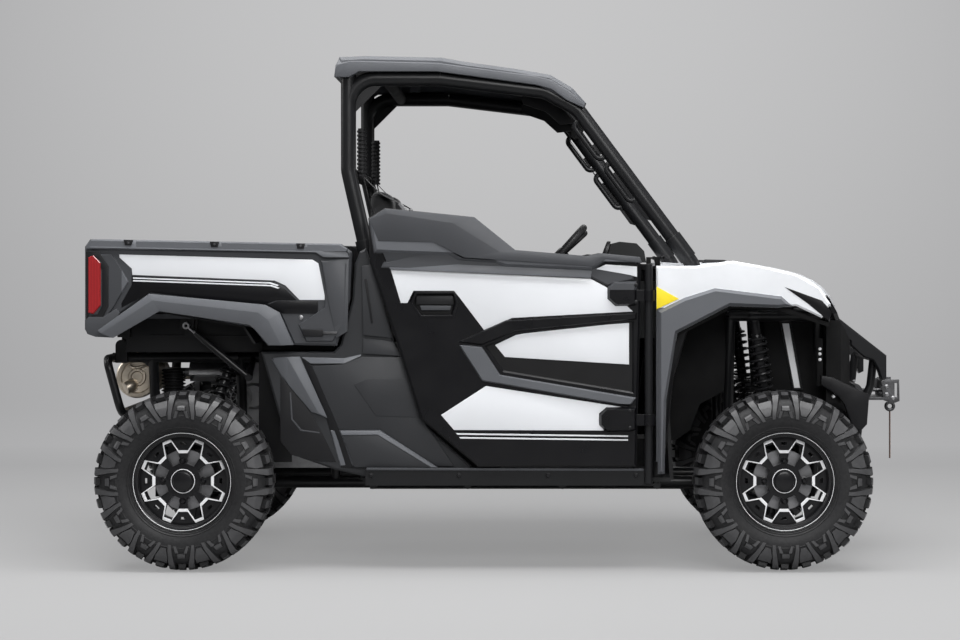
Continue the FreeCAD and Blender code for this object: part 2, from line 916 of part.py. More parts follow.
def wishbone(x, ball_z, pivot_y, pivot_z):
    """Two tubes from the ball joint's eye to two bushes on the frame, on the right side."""
    eye = arm_eye(x, -kingpin_y, ball_z)
    parts = [eye]
    for way in (-1, 1):
        pivot = V(x + way * arm_pivot_spread, -pivot_y, pivot_z)
        start = V(x + way * arm_eye_radius / 2, -kingpin_y + arm_eye_radius, ball_z)
        parts.append(rod(start, pivot, arm_tube_radius))
        parts.append(rod(
            V(pivot.x - arm_bush_half, pivot.y, pivot.z), V(pivot.x + arm_bush_half, pivot.y, pivot.z),
            arm_bush_radius))
    solid = joined(parts)
    pin_hole = rod(
        V(x, -kingpin_y, ball_z - arm_eye_height), V(x, -kingpin_y, ball_z + arm_eye_height),
        kingpin_radius + running_gap)
    return solid.cut(pin_hole)


def shock_foot(x, foot_x, foot_y):
    """A cross bar between the two tubes of an upper wishbone, under the shock absorber."""
    share = (kingpin_y - arm_eye_radius - foot_y) / (kingpin_y - arm_eye_radius - upper_arm_pivot_y)
    ball_z = axle_z + kingpin_half_height
    z = ball_z + (upper_arm_pivot_z - ball_z) * share
    spread = arm_eye_radius / 2 + (arm_pivot_spread - arm_eye_radius / 2) * share
    bar = rod(V(x - spread, -foot_y, z), V(x + spread, -foot_y, z), arm_tube_radius)
    return bar, V(foot_x, -foot_y, z + arm_tube_radius + shock_eye_radius + seat_gap)


def suspension_arms(x, foot_x, foot_y):
    lower = wishbone(x, axle_z - kingpin_half_height, lower_arm_pivot_y, lower_arm_pivot_z)
    upper = wishbone(x, axle_z + kingpin_half_height, upper_arm_pivot_y, upper_arm_pivot_z)
    bar, eye = shock_foot(x, foot_x, foot_y)
    upper = joined([upper, bar])
    return lower, upper, eye


def shock_profile(length):
    """Radius against distance: rod, lower seat, the spring's turns, upper seat, damper head."""
    low = length * spring_low_share
    high = length * spring_high_share
    pitch = (high - low) / spring_turns
    core = spring_radius - 2 * spring_wire_radius
    points = [(0, shock_rod_radius), (low, shock_rod_radius), (low, spring_radius)]
    for turn in range(spring_turns):
        start = low + pitch * turn
        points += [
            (start + pitch / 2, spring_radius), (start + pitch / 2, core),
            (start + pitch, core), (start + pitch, spring_radius)]
    top = high + 2 * spring_wire_radius
    points += [(top, spring_radius), (top, shock_body_radius), (length, shock_body_radius)]
    return points


def shock(foot, head):
    """A damper in its coil spring, turned from one profile, with an eye at each end."""
    along = head - foot
    length = along.Length
    ring = [V(place, radius, 0) for place, radius in shock_profile(length)]
    ring = [V(0, 0, 0)] + ring + [V(length, 0, 0)]
    body = Part.Face(Part.makePolygon(ring + ring[:1])).revolve(V(0, 0, 0), V(1, 0, 0), 360)
    turn = FreeCAD.Rotation(V(1, 0, 0), along)
    body.Placement = FreeCAD.Placement(foot, turn)
    eyes = []
    for point in (foot, head):
        eyes.append(rod(
            V(point.x - shock_eye_half, point.y, point.z),
            V(point.x + shock_eye_half, point.y, point.z), shock_eye_radius))
    return joined([body] + eyes)


def drive_shafts(x, housing_half, end_gap):
    """Half shafts with a boot at each end, from the differential to the knuckles."""
    pieces = []
    for sign in (-1, 1):
        inner = V(x, sign * housing_half, axle_z)
        outer = V(x, sign * (knuckle_inner_y - end_gap), axle_z)
        along = (outer - inner).normalize()
        pieces.append(rod(inner, outer, shaft_radius))
        pieces.append(Part.makeCone(boot_radius, shaft_radius, boot_length, inner, along))
        pieces.append(Part.makeCone(
            shaft_radius, boot_radius * 0.9, boot_length, outer - along * boot_length, along))
    return pieces


def drive_mount(x):
    """A beam between the lower rails with a post that holds the housing above it."""
    half = rail_y - rail_radius - seat_gap
    beam = block(x - drive_mount_half, x + drive_mount_half, -half, half,
                 rail_z - drive_mount_half / 3, rail_z + drive_mount_half / 3)
    post = block(x - drive_mount_half, x + drive_mount_half, -drive_mount_half, drive_mount_half,
                 min(rail_z, axle_z - overrun), max(rail_z, axle_z))
    return joined([beam, post])


def front_drive():
    case = rod(
        V(front_axle_x, -differential_half, axle_z), V(front_axle_x, differential_half, axle_z),
        differential_radius)
    housing = sleeve(
        V(rack_x, -rack_housing_half, rack_z), V(rack_x, rack_housing_half, rack_z),
        rack_housing_radius, tie_rod_radius + running_gap)
    solid = joined([case, drive_mount(front_axle_x)] + drive_shafts(
        front_axle_x, differential_half, steer_room))
    save("front_drive", group([solid, housing]))


def rear_drive():
    case = block(
        rear_axle_x - gearbox_half_length, rear_axle_x + gearbox_half_length,
        -gearbox_half_width, gearbox_half_width,
        axle_z - gearbox_half_height, axle_z + gearbox_half_height)
    parts = [case, drive_mount(rear_axle_x)] + drive_shafts(rear_axle_x, gearbox_half_width, seat_gap)
    save("rear_drive", joined(parts))


def running_gear():
    front_parts = []
    rear_parts = []
    shocks = []
    front = suspension_arms(front_axle_x, front_shock_foot_x, front_shock_foot_y)
    rear = suspension_arms(rear_axle_x, rear_shock_foot_x, rear_shock_foot_y)
    head_reach = knee_radius + shock_eye_radius + seat_gap
    for shape in front[:2]:
        front_parts += [shape, mirrored(shape)]
    rear_knuckle = knuckle(rear_axle_x, False)
    for shape in rear[:2]:
        rear_parts += [shape, mirrored(shape)]
    front_head = V(front_shock_top_x, -tower_top_y - head_reach, tower_top_z)
    rear_head = V(rear_shock_top_x, -bed_rail_y - head_reach, bed_rail_z)
    for foot, head in ((front[2], front_head), (rear[2], rear_head)):
        one = shock(foot, head)
        shocks += [one, mirrored(one)]
    save("front_arms", group(front_parts))
    save("rear_arms", group(rear_parts))
    save("rear_knuckles", group([rear_knuckle, mirrored(rear_knuckle)]))
    save("shocks", group(shocks))
    steered = knuckle(front_axle_x, True)
    save("knuckle_right", steered)
    save("knuckle_left", mirrored(steered))


def tie_rods():
    bar = rod(V(rack_x, -kingpin_y, rack_z), V(rack_x, kingpin_y, rack_z), tie_rod_radius)
    ends = []
    for sign in (-1, 1):
        ends.append(rod(
            V(rack_x, sign * kingpin_y, rack_z - rod_end_height / 2),
            V(rack_x, sign * kingpin_y, rack_z + rod_end_height / 2), rod_end_radius))
    save("tie_rods", joined([bar] + ends))


def frame():
    """Lower rails, a tower at each end of each pair of arms, bed rails, rear guard, receiver."""
    parts = []
    for sign in (-1, 1):
        y = sign * rail_y
        parts.append(bent_tube([
            V(rail_nose_x, y, rail_nose_z), V(rail_front_x, y, rail_z),
            V(rail_rear_x, y, rail_z), V(rail_tail_x, y, rail_tail_z)], rail_radius, frame_bend))
        for axle_x, top_y, top_z in (
                (front_axle_x, tower_top_y, tower_top_z), (rear_axle_x, bed_rail_y, bed_rail_z)):
            for way in (-1, 1):
                parts += tower(axle_x + way * tower_reach, -way, sign, top_y, top_z)
        parts.append(rod(
            V(front_axle_x - tower_reach - weld_depth, sign * tower_top_y, tower_top_z),
            V(front_axle_x + tower_reach + weld_depth, sign * tower_top_y, tower_top_z),
            knee_radius))
        bed_y = sign * bed_rail_y
        parts.append(rod(
            V(bed_rail_rear_x, bed_y, bed_rail_z), V(bed_rail_front_x, bed_y, bed_rail_z),
            tube_radius))
        parts.append(rod(
            V(bed_post_front_x, bed_y, bed_rail_z),
            V(bed_post_front_x, y, rail_z + rail_radius / 2), tube_radius))
        parts.append(bed_ear(sign))
    parts += frame_cross_tubes()
    parts += outriggers()
    parts += rear_guard()
    parts.append(strut_foot())
    return joined(parts)


def tower(x, inward, sign, top_y, top_z):
    """An upright that carries an upper arm's pivot, with a plate for the lower arm's."""
    foot = V(x, sign * rail_y, rail_z)
    knee = V(x, sign * upper_arm_pivot_y, upper_arm_pivot_z)
    head = V(x, sign * top_y, top_z)
    upright = [rod(foot, knee, tube_radius), Part.makeSphere(knee_radius, knee),
               rod(knee, head, tube_radius)]
    near = sorted((x, x + inward * knee_radius))
    side = sorted((sign * rail_y, sign * (lower_arm_pivot_y + arm_bush_radius)))
    plate = block(near[0], near[1], side[0], side[1],
                  lower_arm_pivot_z - arm_bush_radius, rail_z)
    return upright + [plate]


def bed_ear(sign):
    """The ear and pin beside a bed beam on which the cargo bed tips."""
    inner = bed_beam_y + bed_beam_half + seat_gap
    side = sorted((sign * inner, sign * (inner + bed_ear_thickness)))
    plate = block(bed_pin_x - bed_ear_radius, bed_pin_x + bed_ear_radius, side[0], side[1],
                  bed_rail_z - tube_radius, bed_pin_z)
    foot = sorted((sign * bed_rail_y, sign * (inner + bed_ear_thickness)))
    foot_plate = block(bed_pin_x - bed_ear_radius, bed_pin_x + bed_ear_radius, foot[0], foot[1],
                       bed_rail_z - tube_radius, bed_rail_z)
    ear = rod(V(bed_pin_x, side[0], bed_pin_z), V(bed_pin_x, side[1], bed_pin_z), bed_ear_radius)
    pin = rod(V(bed_pin_x, sign * (bed_beam_y - bed_beam_half), bed_pin_z),
              V(bed_pin_x, sign * (inner + bed_ear_thickness), bed_pin_z), bed_pin_radius)
    return joined([plate, foot_plate, ear, pin])


def strut_foot():
    """A bracket from the right bed rail to the lower eye of the lift strut."""
    inner = -strut_y + strut_eye_half + seat_gap
    arm = rod(V(strut_foot_x, -bed_rail_y, bed_rail_z), V(strut_foot_x, inner, strut_foot_z),
              strut_bracket_radius)
    plate = rod(V(strut_foot_x, inner, strut_foot_z),
                V(strut_foot_x, inner + strut_bracket_radius, strut_foot_z), strut_bracket_radius)
    pin = rod(V(strut_foot_x, inner, strut_foot_z),
              V(strut_foot_x, -strut_y - strut_eye_half, strut_foot_z), strut_pin_radius)
    eye_room = rod(V(strut_foot_x, inner, strut_foot_z),
                   V(strut_foot_x, inner - overrun, strut_foot_z), 2 * strut_eye_radius)
    return joined([arm.cut(eye_room), plate, pin])


def cross_bar(x, half, z):
    return rod(V(x, -half + weld_depth, z), V(x, half - weld_depth, z), cross_bar_radius)


def frame_cross_tubes():
    parts = []
    for way in (-1, 1):
        x = front_axle_x + way * tower_reach
        parts.append(cross_bar(x, rail_y, rail_z))
        parts.append(cross_bar(x, tower_top_y, tower_top_z))
    for x in (bed_post_front_x + tube_radius, bed_rail_rear_x + tube_radius):
        parts.append(cross_bar(x, bed_rail_y, bed_rail_z))
    parts.append(rod(V(rail_nose_x - weld_depth, -nose_bar_half, rail_nose_z),
                     V(rail_nose_x - weld_depth, nose_bar_half, rail_nose_z), tube_radius))
    return parts


def outriggers():
    """Stub tubes that carry the floor out to the sills, and the skid plate below the rails."""
    parts = []
    z = floor_z - seat_gap - outrigger_radius
    for place in range(outrigger_count):
        share = place / (outrigger_count - 1)
        x = outrigger_rear_x + (outrigger_front_x - outrigger_rear_x) * share
        for sign in (-1, 1):
            parts.append(rod(V(x, sign * rail_y, z), V(x, sign * outrigger_half, z),
                             outrigger_radius))
    skid_top_z = rail_z - rail_radius
    skid = block(skid_rear_x, skid_front_x, -rail_y, rail_y, skid_top_z - skid_thickness,
                 skid_top_z + weld_depth)
    room = block(skid_rear_x + skid_hem, skid_front_x - skid_hem, -rail_y + skid_hem,
                 rail_y - skid_hem, skid_top_z, rail_z)
    return parts + [skid.cut(room)]


def rear_guard():
    guard = bent_tube([
        V(bed_rail_rear_x, -bed_rail_y, bed_rail_z), V(bed_rail_rear_x, -guard_y, bed_rail_z),
        V(rail_tail_x, -guard_y, guard_low_z), V(rail_tail_x, guard_y, guard_low_z),
        V(bed_rail_rear_x, guard_y, bed_rail_z), V(bed_rail_rear_x, bed_rail_y, bed_rail_z)],
        guard_tube_radius, frame_bend / 2)
    cross = cross_bar(rail_tail_x + weld_depth, rail_y, rail_tail_z)
    receiver = block(
        rail_tail_x - overrun, rail_tail_x - overrun + receiver_length,
        -receiver_half, receiver_half, receiver_z - receiver_half, receiver_z + receiver_half)
    socket = block(
        rail_tail_x - 2 * overrun, rail_tail_x - overrun + receiver_length * 0.8,
        -receiver_bore_half, receiver_bore_half,
        receiver_z - receiver_bore_half, receiver_z + receiver_bore_half)
    return [guard, joined([cross, receiver]).cut(socket)]


def floor_pan():
    floor = block(
        floor_rear_x, floor_front_x, -floor_half_width, floor_half_width,
        floor_z, floor_z + floor_thickness)
    tunnel = block(
        floor_rear_x, floor_front_x, -tunnel_half_width, tunnel_half_width,
        floor_z, floor_z + tunnel_height)
    plinth = block(
        floor_rear_x, plinth_front_x, -dash_half_width, dash_half_width, floor_z, plinth_top_z)
    bulkhead = block(
        bulkhead_x, bulkhead_x + bulkhead_thickness, -dash_half_width, dash_half_width,
        floor_z, bulkhead_top_z)
    toe = side_plate([
        (floor_front_x, floor_z), (floor_front_x + toe_thickness, floor_z),
        (toe_top_x + toe_thickness, toe_top_z), (toe_top_x, toe_top_z)],
        -dash_half_width, dash_half_width)
    save("floor_pan", joined([floor, tunnel, plinth, bulkhead, toe]))


def side_bars():
    """Sill beams with the upright posts that carry the door hinges."""
    sill = block(sill_rear_x, sill_front_x, -sill_outer_y, -sill_inner_y, sill_low_z, sill_high_z)
    post = rod(V(hinge_x, -hinge_y, hinge_post_low_z), V(hinge_x, -hinge_y, hinge_post_high_z),
               hinge_post_radius)
    foot = block(
        hinge_x - hinge_post_radius, hinge_x + hinge_post_radius, -hinge_y, -sill_inner_y,
        sill_low_z, sill_low_z + post_bracket_height)
    top = block(
        hinge_x - hinge_post_radius, hinge_x + hinge_post_radius, -hinge_y,
        -fender_inner_y, hinge_post_high_z - post_bracket_height, hinge_post_high_z)
    bar = joined([sill, foot, post, top])
    save("side_bars", group([bar, mirrored(bar)]))


def hinge_heights():
    height = door_high_z - door_low_z
    return [door_low_z + height * hinge_low_share, door_low_z + height * hinge_high_share]


def door():
    """Right door: a moulded skin round a hollow, with its raised bands, latch and hinges."""
    box = (door_rear_x, door_front_x, door_low_z, door_high_z)
    outline = fitted(door_outline_shares, *box)
    inner_y = -door_outer_y + door_thickness
    panel = moulded(outline, inner_y, -door_outer_y, door_edge)
    hollow = side_plate(inset(outline, door_rim), inner_y + overrun,
                        -door_outer_y + door_edge + door_skin)
    arm_rest = block(door_rear_x, door_front_x, -door_outer_y, inner_y, arm_rest_low_z, arm_rest_high_z)
    panel = panel.cut(hollow.cut(arm_rest))
    panel = panel.cut(pressed(
        fitted(middle_recess_shares, *box), -door_outer_y, -door_outer_y + middle_recess_depth,
        middle_recess_depth))
    panel = panel.cut(pressed(
        fitted(latch_recess_shares, *box), -door_outer_y, -door_outer_y + latch_recess_depth,
        latch_recess_depth / 2))
    lever = moulded(
        fitted(latch_lever_shares, *box), -door_outer_y + latch_recess_depth,
        -door_outer_y + latch_recess_depth / 4, door_edge / 2)
    forms = [panel, lever]
    for shares, depth, draft in (
            (bolster_shares, bolster_depth, bolster_draft),
            (shoulder_shares, shoulder_depth, shoulder_depth),
            (upper_jaw_shares, jaw_depth, jaw_depth / 2),
            (lower_jaw_shares, jaw_depth, jaw_depth / 2),
            (hinge_cover_shares[0], hinge_cover_depth, door_edge),
            (hinge_cover_shares[1], hinge_cover_depth, door_edge)):
        forms.append(pressed(fitted(shares, *box), -door_outer_y, -door_outer_y - depth, draft))
    panel = joined(forms)
    for z in hinge_heights():
        arm = block(
            door_front_x - hinge_eye_height, hinge_x, -hinge_y - hinge_post_radius,
            -hinge_y + hinge_post_radius, z, z + hinge_eye_height)
        eye = rod(V(hinge_x, -hinge_y, z), V(hinge_x, -hinge_y, z + hinge_eye_height),
                  hinge_eye_radius)
        bore = rod(
            V(hinge_x, -hinge_y, z - overrun), V(hinge_x, -hinge_y, z + hinge_eye_height + overrun),
            hinge_post_radius + running_gap)
        panel = joined([panel, joined([arm, eye]).cut(bore)])
    return panel


def doors():
    right = door()
    save("door_right", right)
    save("door_left", mirrored(right))


def bed_side():
    """Right side wall: a moulded panel with its rail cap, corner, front post and flare."""
    box = (bed_rear_x, bed_front_x, bed_low_z, bed_high_z)
    wall = moulded(fitted(bed_side_shares, *box), -bed_outer_y + bed_wall, -bed_outer_y, bed_edge)
    forms = [wall]
    for shares, foot, depth, draft in (
            (bed_cap_shares, 0, bed_cap_depth, bed_edge / 2),
            (bed_post_shares, 0, bed_post_depth, bed_edge / 2),
            (bed_corner_shares, 0, bed_post_depth, bed_edge / 2),
            (bed_flare_shares, 2 * bed_edge, bed_flare_outer_y - bed_outer_y, bed_flare_draft)):
        forms.append(pressed(
            fitted(shares, *box), -bed_outer_y + foot, -bed_outer_y - depth, draft))
    side = joined(forms)
    for share in cap_notch_shares:
        x = bed_rear_x + (bed_front_x - bed_rear_x) * share
        side = side.cut(block(
            x, x + cap_notch_width, -bed_outer_y - overrun, -bed_outer_y + bed_cap_depth,
            bed_high_z - 2 * cap_notch_depth, bed_high_z + overrun))
    return side


def bed():
    """Floor, front wall and two side walls, with flares over the rear wheels."""
    side = bed_side()
    pin_x = bed_rear_x + tailgate_thickness / 2
    inner_y = bed_outer_y - bed_wall
    bore = rod(V(pin_x, -inner_y - tailgate_pin_depth - hub_gap, tailgate_pin_z),
               V(pin_x, -inner_y + overrun, tailgate_pin_z), tailgate_pin_radius + running_gap)
    side = side.cut(bore)
    floor = block(bed_floor_rear_x, bed_front_x - bed_wall, -inner_y, inner_y,
                  bed_floor_z, bed_floor_z + bed_floor_thickness)
    for place in range(floor_grooves):
        y = (place - (floor_grooves - 1) / 2) * floor_groove_pitch
        floor = floor.cut(block(
            bed_floor_rear_x - overrun, bed_front_x - 3 * bed_wall, y - floor_groove_width / 2,
            y + floor_groove_width / 2, bed_floor_z + bed_floor_thickness - floor_groove_depth,
            bed_floor_z + bed_floor_thickness + overrun))
    front = block(bed_front_x - 2 * bed_wall, bed_front_x - bed_wall, -inner_y, inner_y,
                  bed_floor_z, bed_high_z - bed_rail_cap_height)
    save("bed_tub", joined([side, mirrored(side), floor, front]))
    box = (bed_rear_x, bed_front_x, bed_low_z, bed_high_z)
    lamp = moulded(fitted(taillamp_shares, *box), -bed_outer_y - bed_post_depth - seat_gap,
                   -bed_outer_y - bed_post_depth - taillamp_thickness, taillamp_thickness / 2)
    save("taillamps", group([lamp, mirrored(lamp)]))


def bed_frame():
    """Beams with eyes for the tipping pins, and the cross members that carry the bed floor."""
    parts = []
    front_x = bed_front_x - 2 * bed_wall
    for sign in (-1, 1):
        y = sign * bed_beam_y
        parts.append(block(bed_pin_x, front_x, y - bed_beam_half, y + bed_beam_half,
                           bed_beam_low_z, bed_beam_high_z))
        parts.append(rod(V(bed_pin_x, y - bed_beam_half, bed_pin_z),
                         V(bed_pin_x, y + bed_beam_half, bed_pin_z), bed_ear_radius))
    member_half = strut_y - strut_eye_half - 2 * strut_bracket_radius
    pitch = (front_x - 2 * bed_beam_half - bed_pin_x) / (bed_cross_members - 1)
    for place in range(bed_cross_members):
        x = bed_pin_x + pitch * place
        parts.append(block(x, x + 2 * bed_beam_half, -member_half, member_half,
                           bed_beam_high_z, bed_floor_z))
    parts.append(strut_bracket())
    solid = joined(parts)
    for sign in (-1, 1):
        y = sign * bed_beam_y
        solid = solid.cut(rod(V(bed_pin_x, y - bed_beam_half - overrun, bed_pin_z),
                              V(bed_pin_x, y + bed_beam_half + overrun, bed_pin_z),
                              bed_pin_radius + running_gap))
    save("bed_frame", solid)


def strut_bracket():
    """A plate under the bed floor beside the upper eye of the lift strut."""
    inner = -strut_y + strut_eye_half + seat_gap
    return block(
        strut_head_x - 2 * strut_eye_radius, strut_head_x + 2 * strut_eye_radius, inner,
        inner + 2 * strut_bracket_radius + weld_depth, strut_head_z - strut_eye_radius, bed_floor_z)


def tailgate():
    """A moulded panel with two sunk fields and a latch slot, and the pin it swings on."""
    inner_y = bed_outer_y - bed_wall
    pin_x = bed_rear_x + tailgate_thickness / 2
    half = inner_y - tailgate_gap
    outline = [(-half, tailgate_low_z), (half, tailgate_low_z), (half, tailgate_high_z),
               (-half, tailgate_high_z)]
    panel = moulded(outline, bed_rear_x + tailgate_thickness, bed_rear_x, bed_edge, front_point)
    for sign in (-1, 1):
        near = sign * tailgate_latch_half * 1.3
        far = sign * (half - tailgate_border)
        field = [(near, tailgate_low_z + tailgate_border), (far, tailgate_low_z + tailgate_border),
                 (far, tailgate_high_z - tailgate_border), (near, tailgate_high_z - tailgate_border)]
        panel = panel.cut(pressed(
            field, bed_rear_x, bed_rear_x + tailgate_field_depth, tailgate_field_depth, front_point))
    slot = block(
        bed_rear_x - overrun, bed_rear_x + tailgate_slot_depth, -tailgate_latch_half,
        tailgate_latch_half, tailgate_high_z - 2 * tailgate_border, tailgate_high_z - tailgate_border)
    pin = rod(V(pin_x, -inner_y - tailgate_pin_depth, tailgate_pin_z),
              V(pin_x, inner_y + tailgate_pin_depth, tailgate_pin_z), tailgate_pin_radius)
    save("tailgate", joined([panel.cut(slot), pin]))


def lift_strut():
    foot = V(strut_foot_x, -strut_y, strut_foot_z)
    head = V(strut_head_x, -strut_y, strut_head_z)
    along = (head - foot).normalize()
    length = (head - foot).Length
    tube_end = foot + along * (length * strut_tube_share)
    tube = rod(foot, tube_end, strut_tube_radius)
    eye = rod(V(foot.x, foot.y - strut_eye_half, foot.z), V(foot.x, foot.y + strut_eye_half, foot.z),
              strut_eye_radius)
    bore = rod(foot + along * strut_eye_radius, tube_end + along * overrun,
               strut_rod_radius + running_gap)
    pin_hole = rod(V(foot.x, foot.y - overrun, foot.z), V(foot.x, foot.y + overrun, foot.z),
                   strut_pin_radius + running_gap)
    save("strut_cylinder", joined([tube, eye]).cut(bore).cut(pin_hole))
    piston = rod(foot + along * strut_rod_start, head, strut_rod_radius)
    head_eye = rod(
        V(head.x, head.y - strut_eye_half, head.z), V(head.x, head.y + strut_eye_half, head.z),
        strut_eye_radius)
    head_hole = rod(V(head.x, head.y - overrun, head.z), V(head.x, head.y + overrun, head.z),
                    strut_pin_radius)
    save("strut_rod", joined([piston, head_eye]).cut(head_hole))


def quarter_panels():
    box = (quarter_rear_x, quarter_front_x, quarter_low_z, quarter_high_z)
    forms = [moulded(fitted(quarter_shares, *box), -quarter_outer_y + quarter_thickness,
                     -quarter_outer_y, quarter_edge)]
    for shares in (quarter_strip_shares, quarter_skirt_shares):
        forms.append(pressed(fitted(shares, *box), -quarter_outer_y,
                             -quarter_outer_y - quarter_strip_depth, quarter_strip_depth))
    sill_room = block(sill_rear_x - seat_gap, sill_front_x, -sill_outer_y, -sill_inner_y + overrun,
                      sill_low_z - overrun * 2, sill_high_z + seat_gap)
    right = joined(forms).cut(sill_room)
    save("quarter_panels", group([right, mirrored(right)]))


def along_line(start, end, z):
    """The point at a height on the line between two points."""
    return start + (end - start) * ((z - start.z) / (end.z - start.z))


def cage_fittings():
    """Collars on the pillars, a gusset at the rear corner and the grab handles."""
    b_foot = V(b_pillar_foot_x, -cage_y, floor_z)
    b_belt = V(b_pillar_belt_x, -cage_y, b_pillar_belt_z)
    b_knee = V(b_pillar_x, -cage_y, b_pillar_knee_z)
    a_top = V(a_pillar_top_x, -cage_y, a_pillar_top_z)
    a_foot = V(a_pillar_foot_x, -cage_y, a_pillar_foot_z)
    parts = [rod(along_line(a_foot, a_top, front_collar_low_z),
                 along_line(a_foot, a_top, front_collar_low_z + collar_length), collar_radius)]
    middle = along_line(b_foot, b_belt, rear_collar_low_z)
    parts.append(rod(middle, middle + (b_belt - b_foot).normalize() * collar_length / 2, collar_radius))
    upper = middle + (b_belt - b_foot).normalize() * collar_length / 2
    parts.append(rod(upper, upper + (b_knee - b_belt).normalize() * collar_length / 2,
                     collar_radius + hub_gap))
    corner_x = b_pillar_x + cage_radius / 2
    corner_z = roof_rail_z - cage_radius / 2
    parts.append(side_plate([
        (corner_x, corner_z), (corner_x + gusset_reach, corner_z), (corner_x, corner_z - gusset_reach)],
        -cage_y - gusset_half, -cage_y + gusset_half))
    along = a_foot - a_top
    out = V(along.z, 0, -along.x).normalize() * handle_reach
    for first, last in handle_shares:
        near = a_top + along * first
        far = a_top + along * last
        parts.append(bent_tube([near, near + out, far + out, far], handle_radius, handle_reach / 2))
    return parts


def cage_side(radius):
    """Right side of the cage: a rear hoop that meets a front hoop at the roof rail."""
    hoop = bent_tube([
        V(b_pillar_foot_x, -cage_y, floor_z),
        V(b_pillar_belt_x, -cage_y, b_pillar_belt_z), V(b_pillar_x, -cage_y, b_pillar_knee_z),
        V(b_pillar_x, -cage_y, roof_rail_z), V(roof_rail_mid_x, -cage_y, roof_rail_z)],
        radius, cage_bend)
    rail = bent_tube([
        V(roof_rail_mid_x, -cage_y, roof_rail_z),
        V(roof_rail_front_x, -cage_y, roof_rail_front_z),
        V(a_pillar_top_x, -cage_y, a_pillar_top_z),
        V(a_pillar_foot_x, -cage_y, a_pillar_foot_z),
        V(a_pillar_knee_x, -cage_y, a_pillar_knee_z),
        V(floor_front_x - 2 * cage_radius, -cage_y, floor_z)],
        radius, cage_bend)
    below = block(floor_rear_x - overrun, floor_front_x + overrun, -cage_y - 2 * cage_radius,
                  -cage_y + 2 * cage_radius, floor_z - cage_radius,
                  floor_z + floor_thickness + seat_gap)
    return joined([hoop, rail]).cut(below)


def cage():
    right = joined([cage_side(cage_radius)] + cage_fittings())
    save("cage_right", right)
    save("cage_left", mirrored(right))
    edge = cage_y - cage_radius - seat_gap
    bars = []
    for x, z in ((b_cross_x, roof_rail_z), (b_pillar_x, belt_bar_z + collar_length),
                 (screen_bar_x, screen_bar_z)):
        bars.append(rod(V(x, -edge, z), V(x, edge, z), cross_tube_radius))
    save("cage_cross", group(bars))


def roof():
    """A crowned shell with turned down edges, resting on blocks over the roof rails."""
    box = (roof_rear_x, roof_front_x, roof_low_z, roof_high_z)
    outline = fitted(roof_side_shares, *box)
    forms = []
    for sign in (-1, 1):
        forms.append(moulded(outline, 0, sign * roof_half_width, roof_edge))
    centre_outline = fitted(roof_centre_shares, *box)
    low_centre = [(x, min(z, roof_high_z - roof_skin * 2)) for x, z in centre_outline]
    rings = []
    for y, points in ((-roof_centre_half_width, low_centre),
                      (-roof_centre_half_width + roof_centre_slope, centre_outline),
                      (roof_centre_half_width - roof_centre_slope, centre_outline),
                      (roof_centre_half_width, low_centre)):
        ring = [V(x, y, z) for x, z in points]
        rings.append(Part.makePolygon(ring + ring[:1]))
    centre = Part.makeLoft(rings, True, True)
    top = outline[:roof_top_points]
    room = [(x + roof_skin * shift, z - roof_skin) for (x, z), shift in
            zip(top, (1, 1) + (0,) * (roof_top_points - 4) + (-1, -1))]
    room += [(room[-1][0], roof_low_z - overrun), (room[0][0], roof_low_z - overrun)]
    cavity = side_plate(room, -roof_half_width + roof_skin, roof_half_width - roof_skin)
    shell = joined(forms).cut(cavity)
    pads = []
    for sign in (-1, 1):
        low_y = sign * cage_y - roof_pad_half
        pads.append(block(roof_pad_x, roof_pad_x + 2 * roof_pad_half, low_y,
                          low_y + 2 * roof_pad_half, roof_rail_z + cage_radius + seat_gap,
                          roof_high_z - 2 * roof_skin))
    roof_solid = joined([shell, centre] + pads)
    room_for_cage = cage_side(cage_radius + seat_gap)
    save("roof", roof_solid.cut(room_for_cage).cut(mirrored(room_for_cage)))


def fender():
    """Right front fender: a top plate, an outer skin over the wheel arch and a rear leg."""
    box = (fender_rear_x, fender_front_x, fender_low_z, fender_high_z)
    top = fitted(fender_top_shares, *box)
    arch = fitted(arch_shares, *box)
    leg = fitted(leg_shares, *box)
    skin = moulded(top + arch + leg, -fender_outer_y + fender_skin, -fender_outer_y, fender_edge)
    under = [(x, z - fender_skin) for x, z in reversed(top)]
    cover = side_plate(top + under, -fender_outer_y + fender_skin, -fender_inner_y)
    flare = pressed(fitted(flare_shares, *box), -fender_outer_y, -flare_outer_y, flare_draft)
    liner = side_plate(
        [arch[-1], (arch[-1][0] + fender_skin, arch[-1][1]),
         (leg[0][0] + fender_skin, leg[0][1]), (leg[1][0], leg[1][1]), leg[2], leg[3], leg[4]],
        -fender_outer_y + fender_skin, -cage_y - cage_radius - seat_gap)
    solid = joined([skin, cover, flare, liner])
    lamp_room = side_plate(inset(lamp_outline(), -seat_gap), -headlamp_outer_y - seat_gap,
                           -fender_inner_y + overrun)
    return solid.cut(lamp_room).cut(cage_side(cage_radius + seat_gap))


def hood_panel():
    """Side profiles at stations across the hood, higher and further forward at its middle."""
    box = (hood_rear_x, hood_front_x, hood_low_z, hood_high_z)
    rings = []
    for station in range(hood_stations):
        across = 2 * station / (hood_stations - 1) - 1
        bulge = 1 - across ** 2
        top = []
        for (x, z), (share, _) in zip(fitted(hood_top_shares, *box), hood_top_shares):
            rise = math.sin(math.pi / 2 * min(share / hood_rise_share, 1))
            top.append((x + hood_nose_reach * bulge * share ** 2, z + hood_crown * bulge * rise))
        under = [(x, z - hood_thickness) for x, z in reversed(top)]
        ring = [V(x, across * hood_half_width, z) for x, z in top + under]
        rings.append(Part.makePolygon(ring + ring[:1]))
    return Part.makeLoft(rings, True, True)


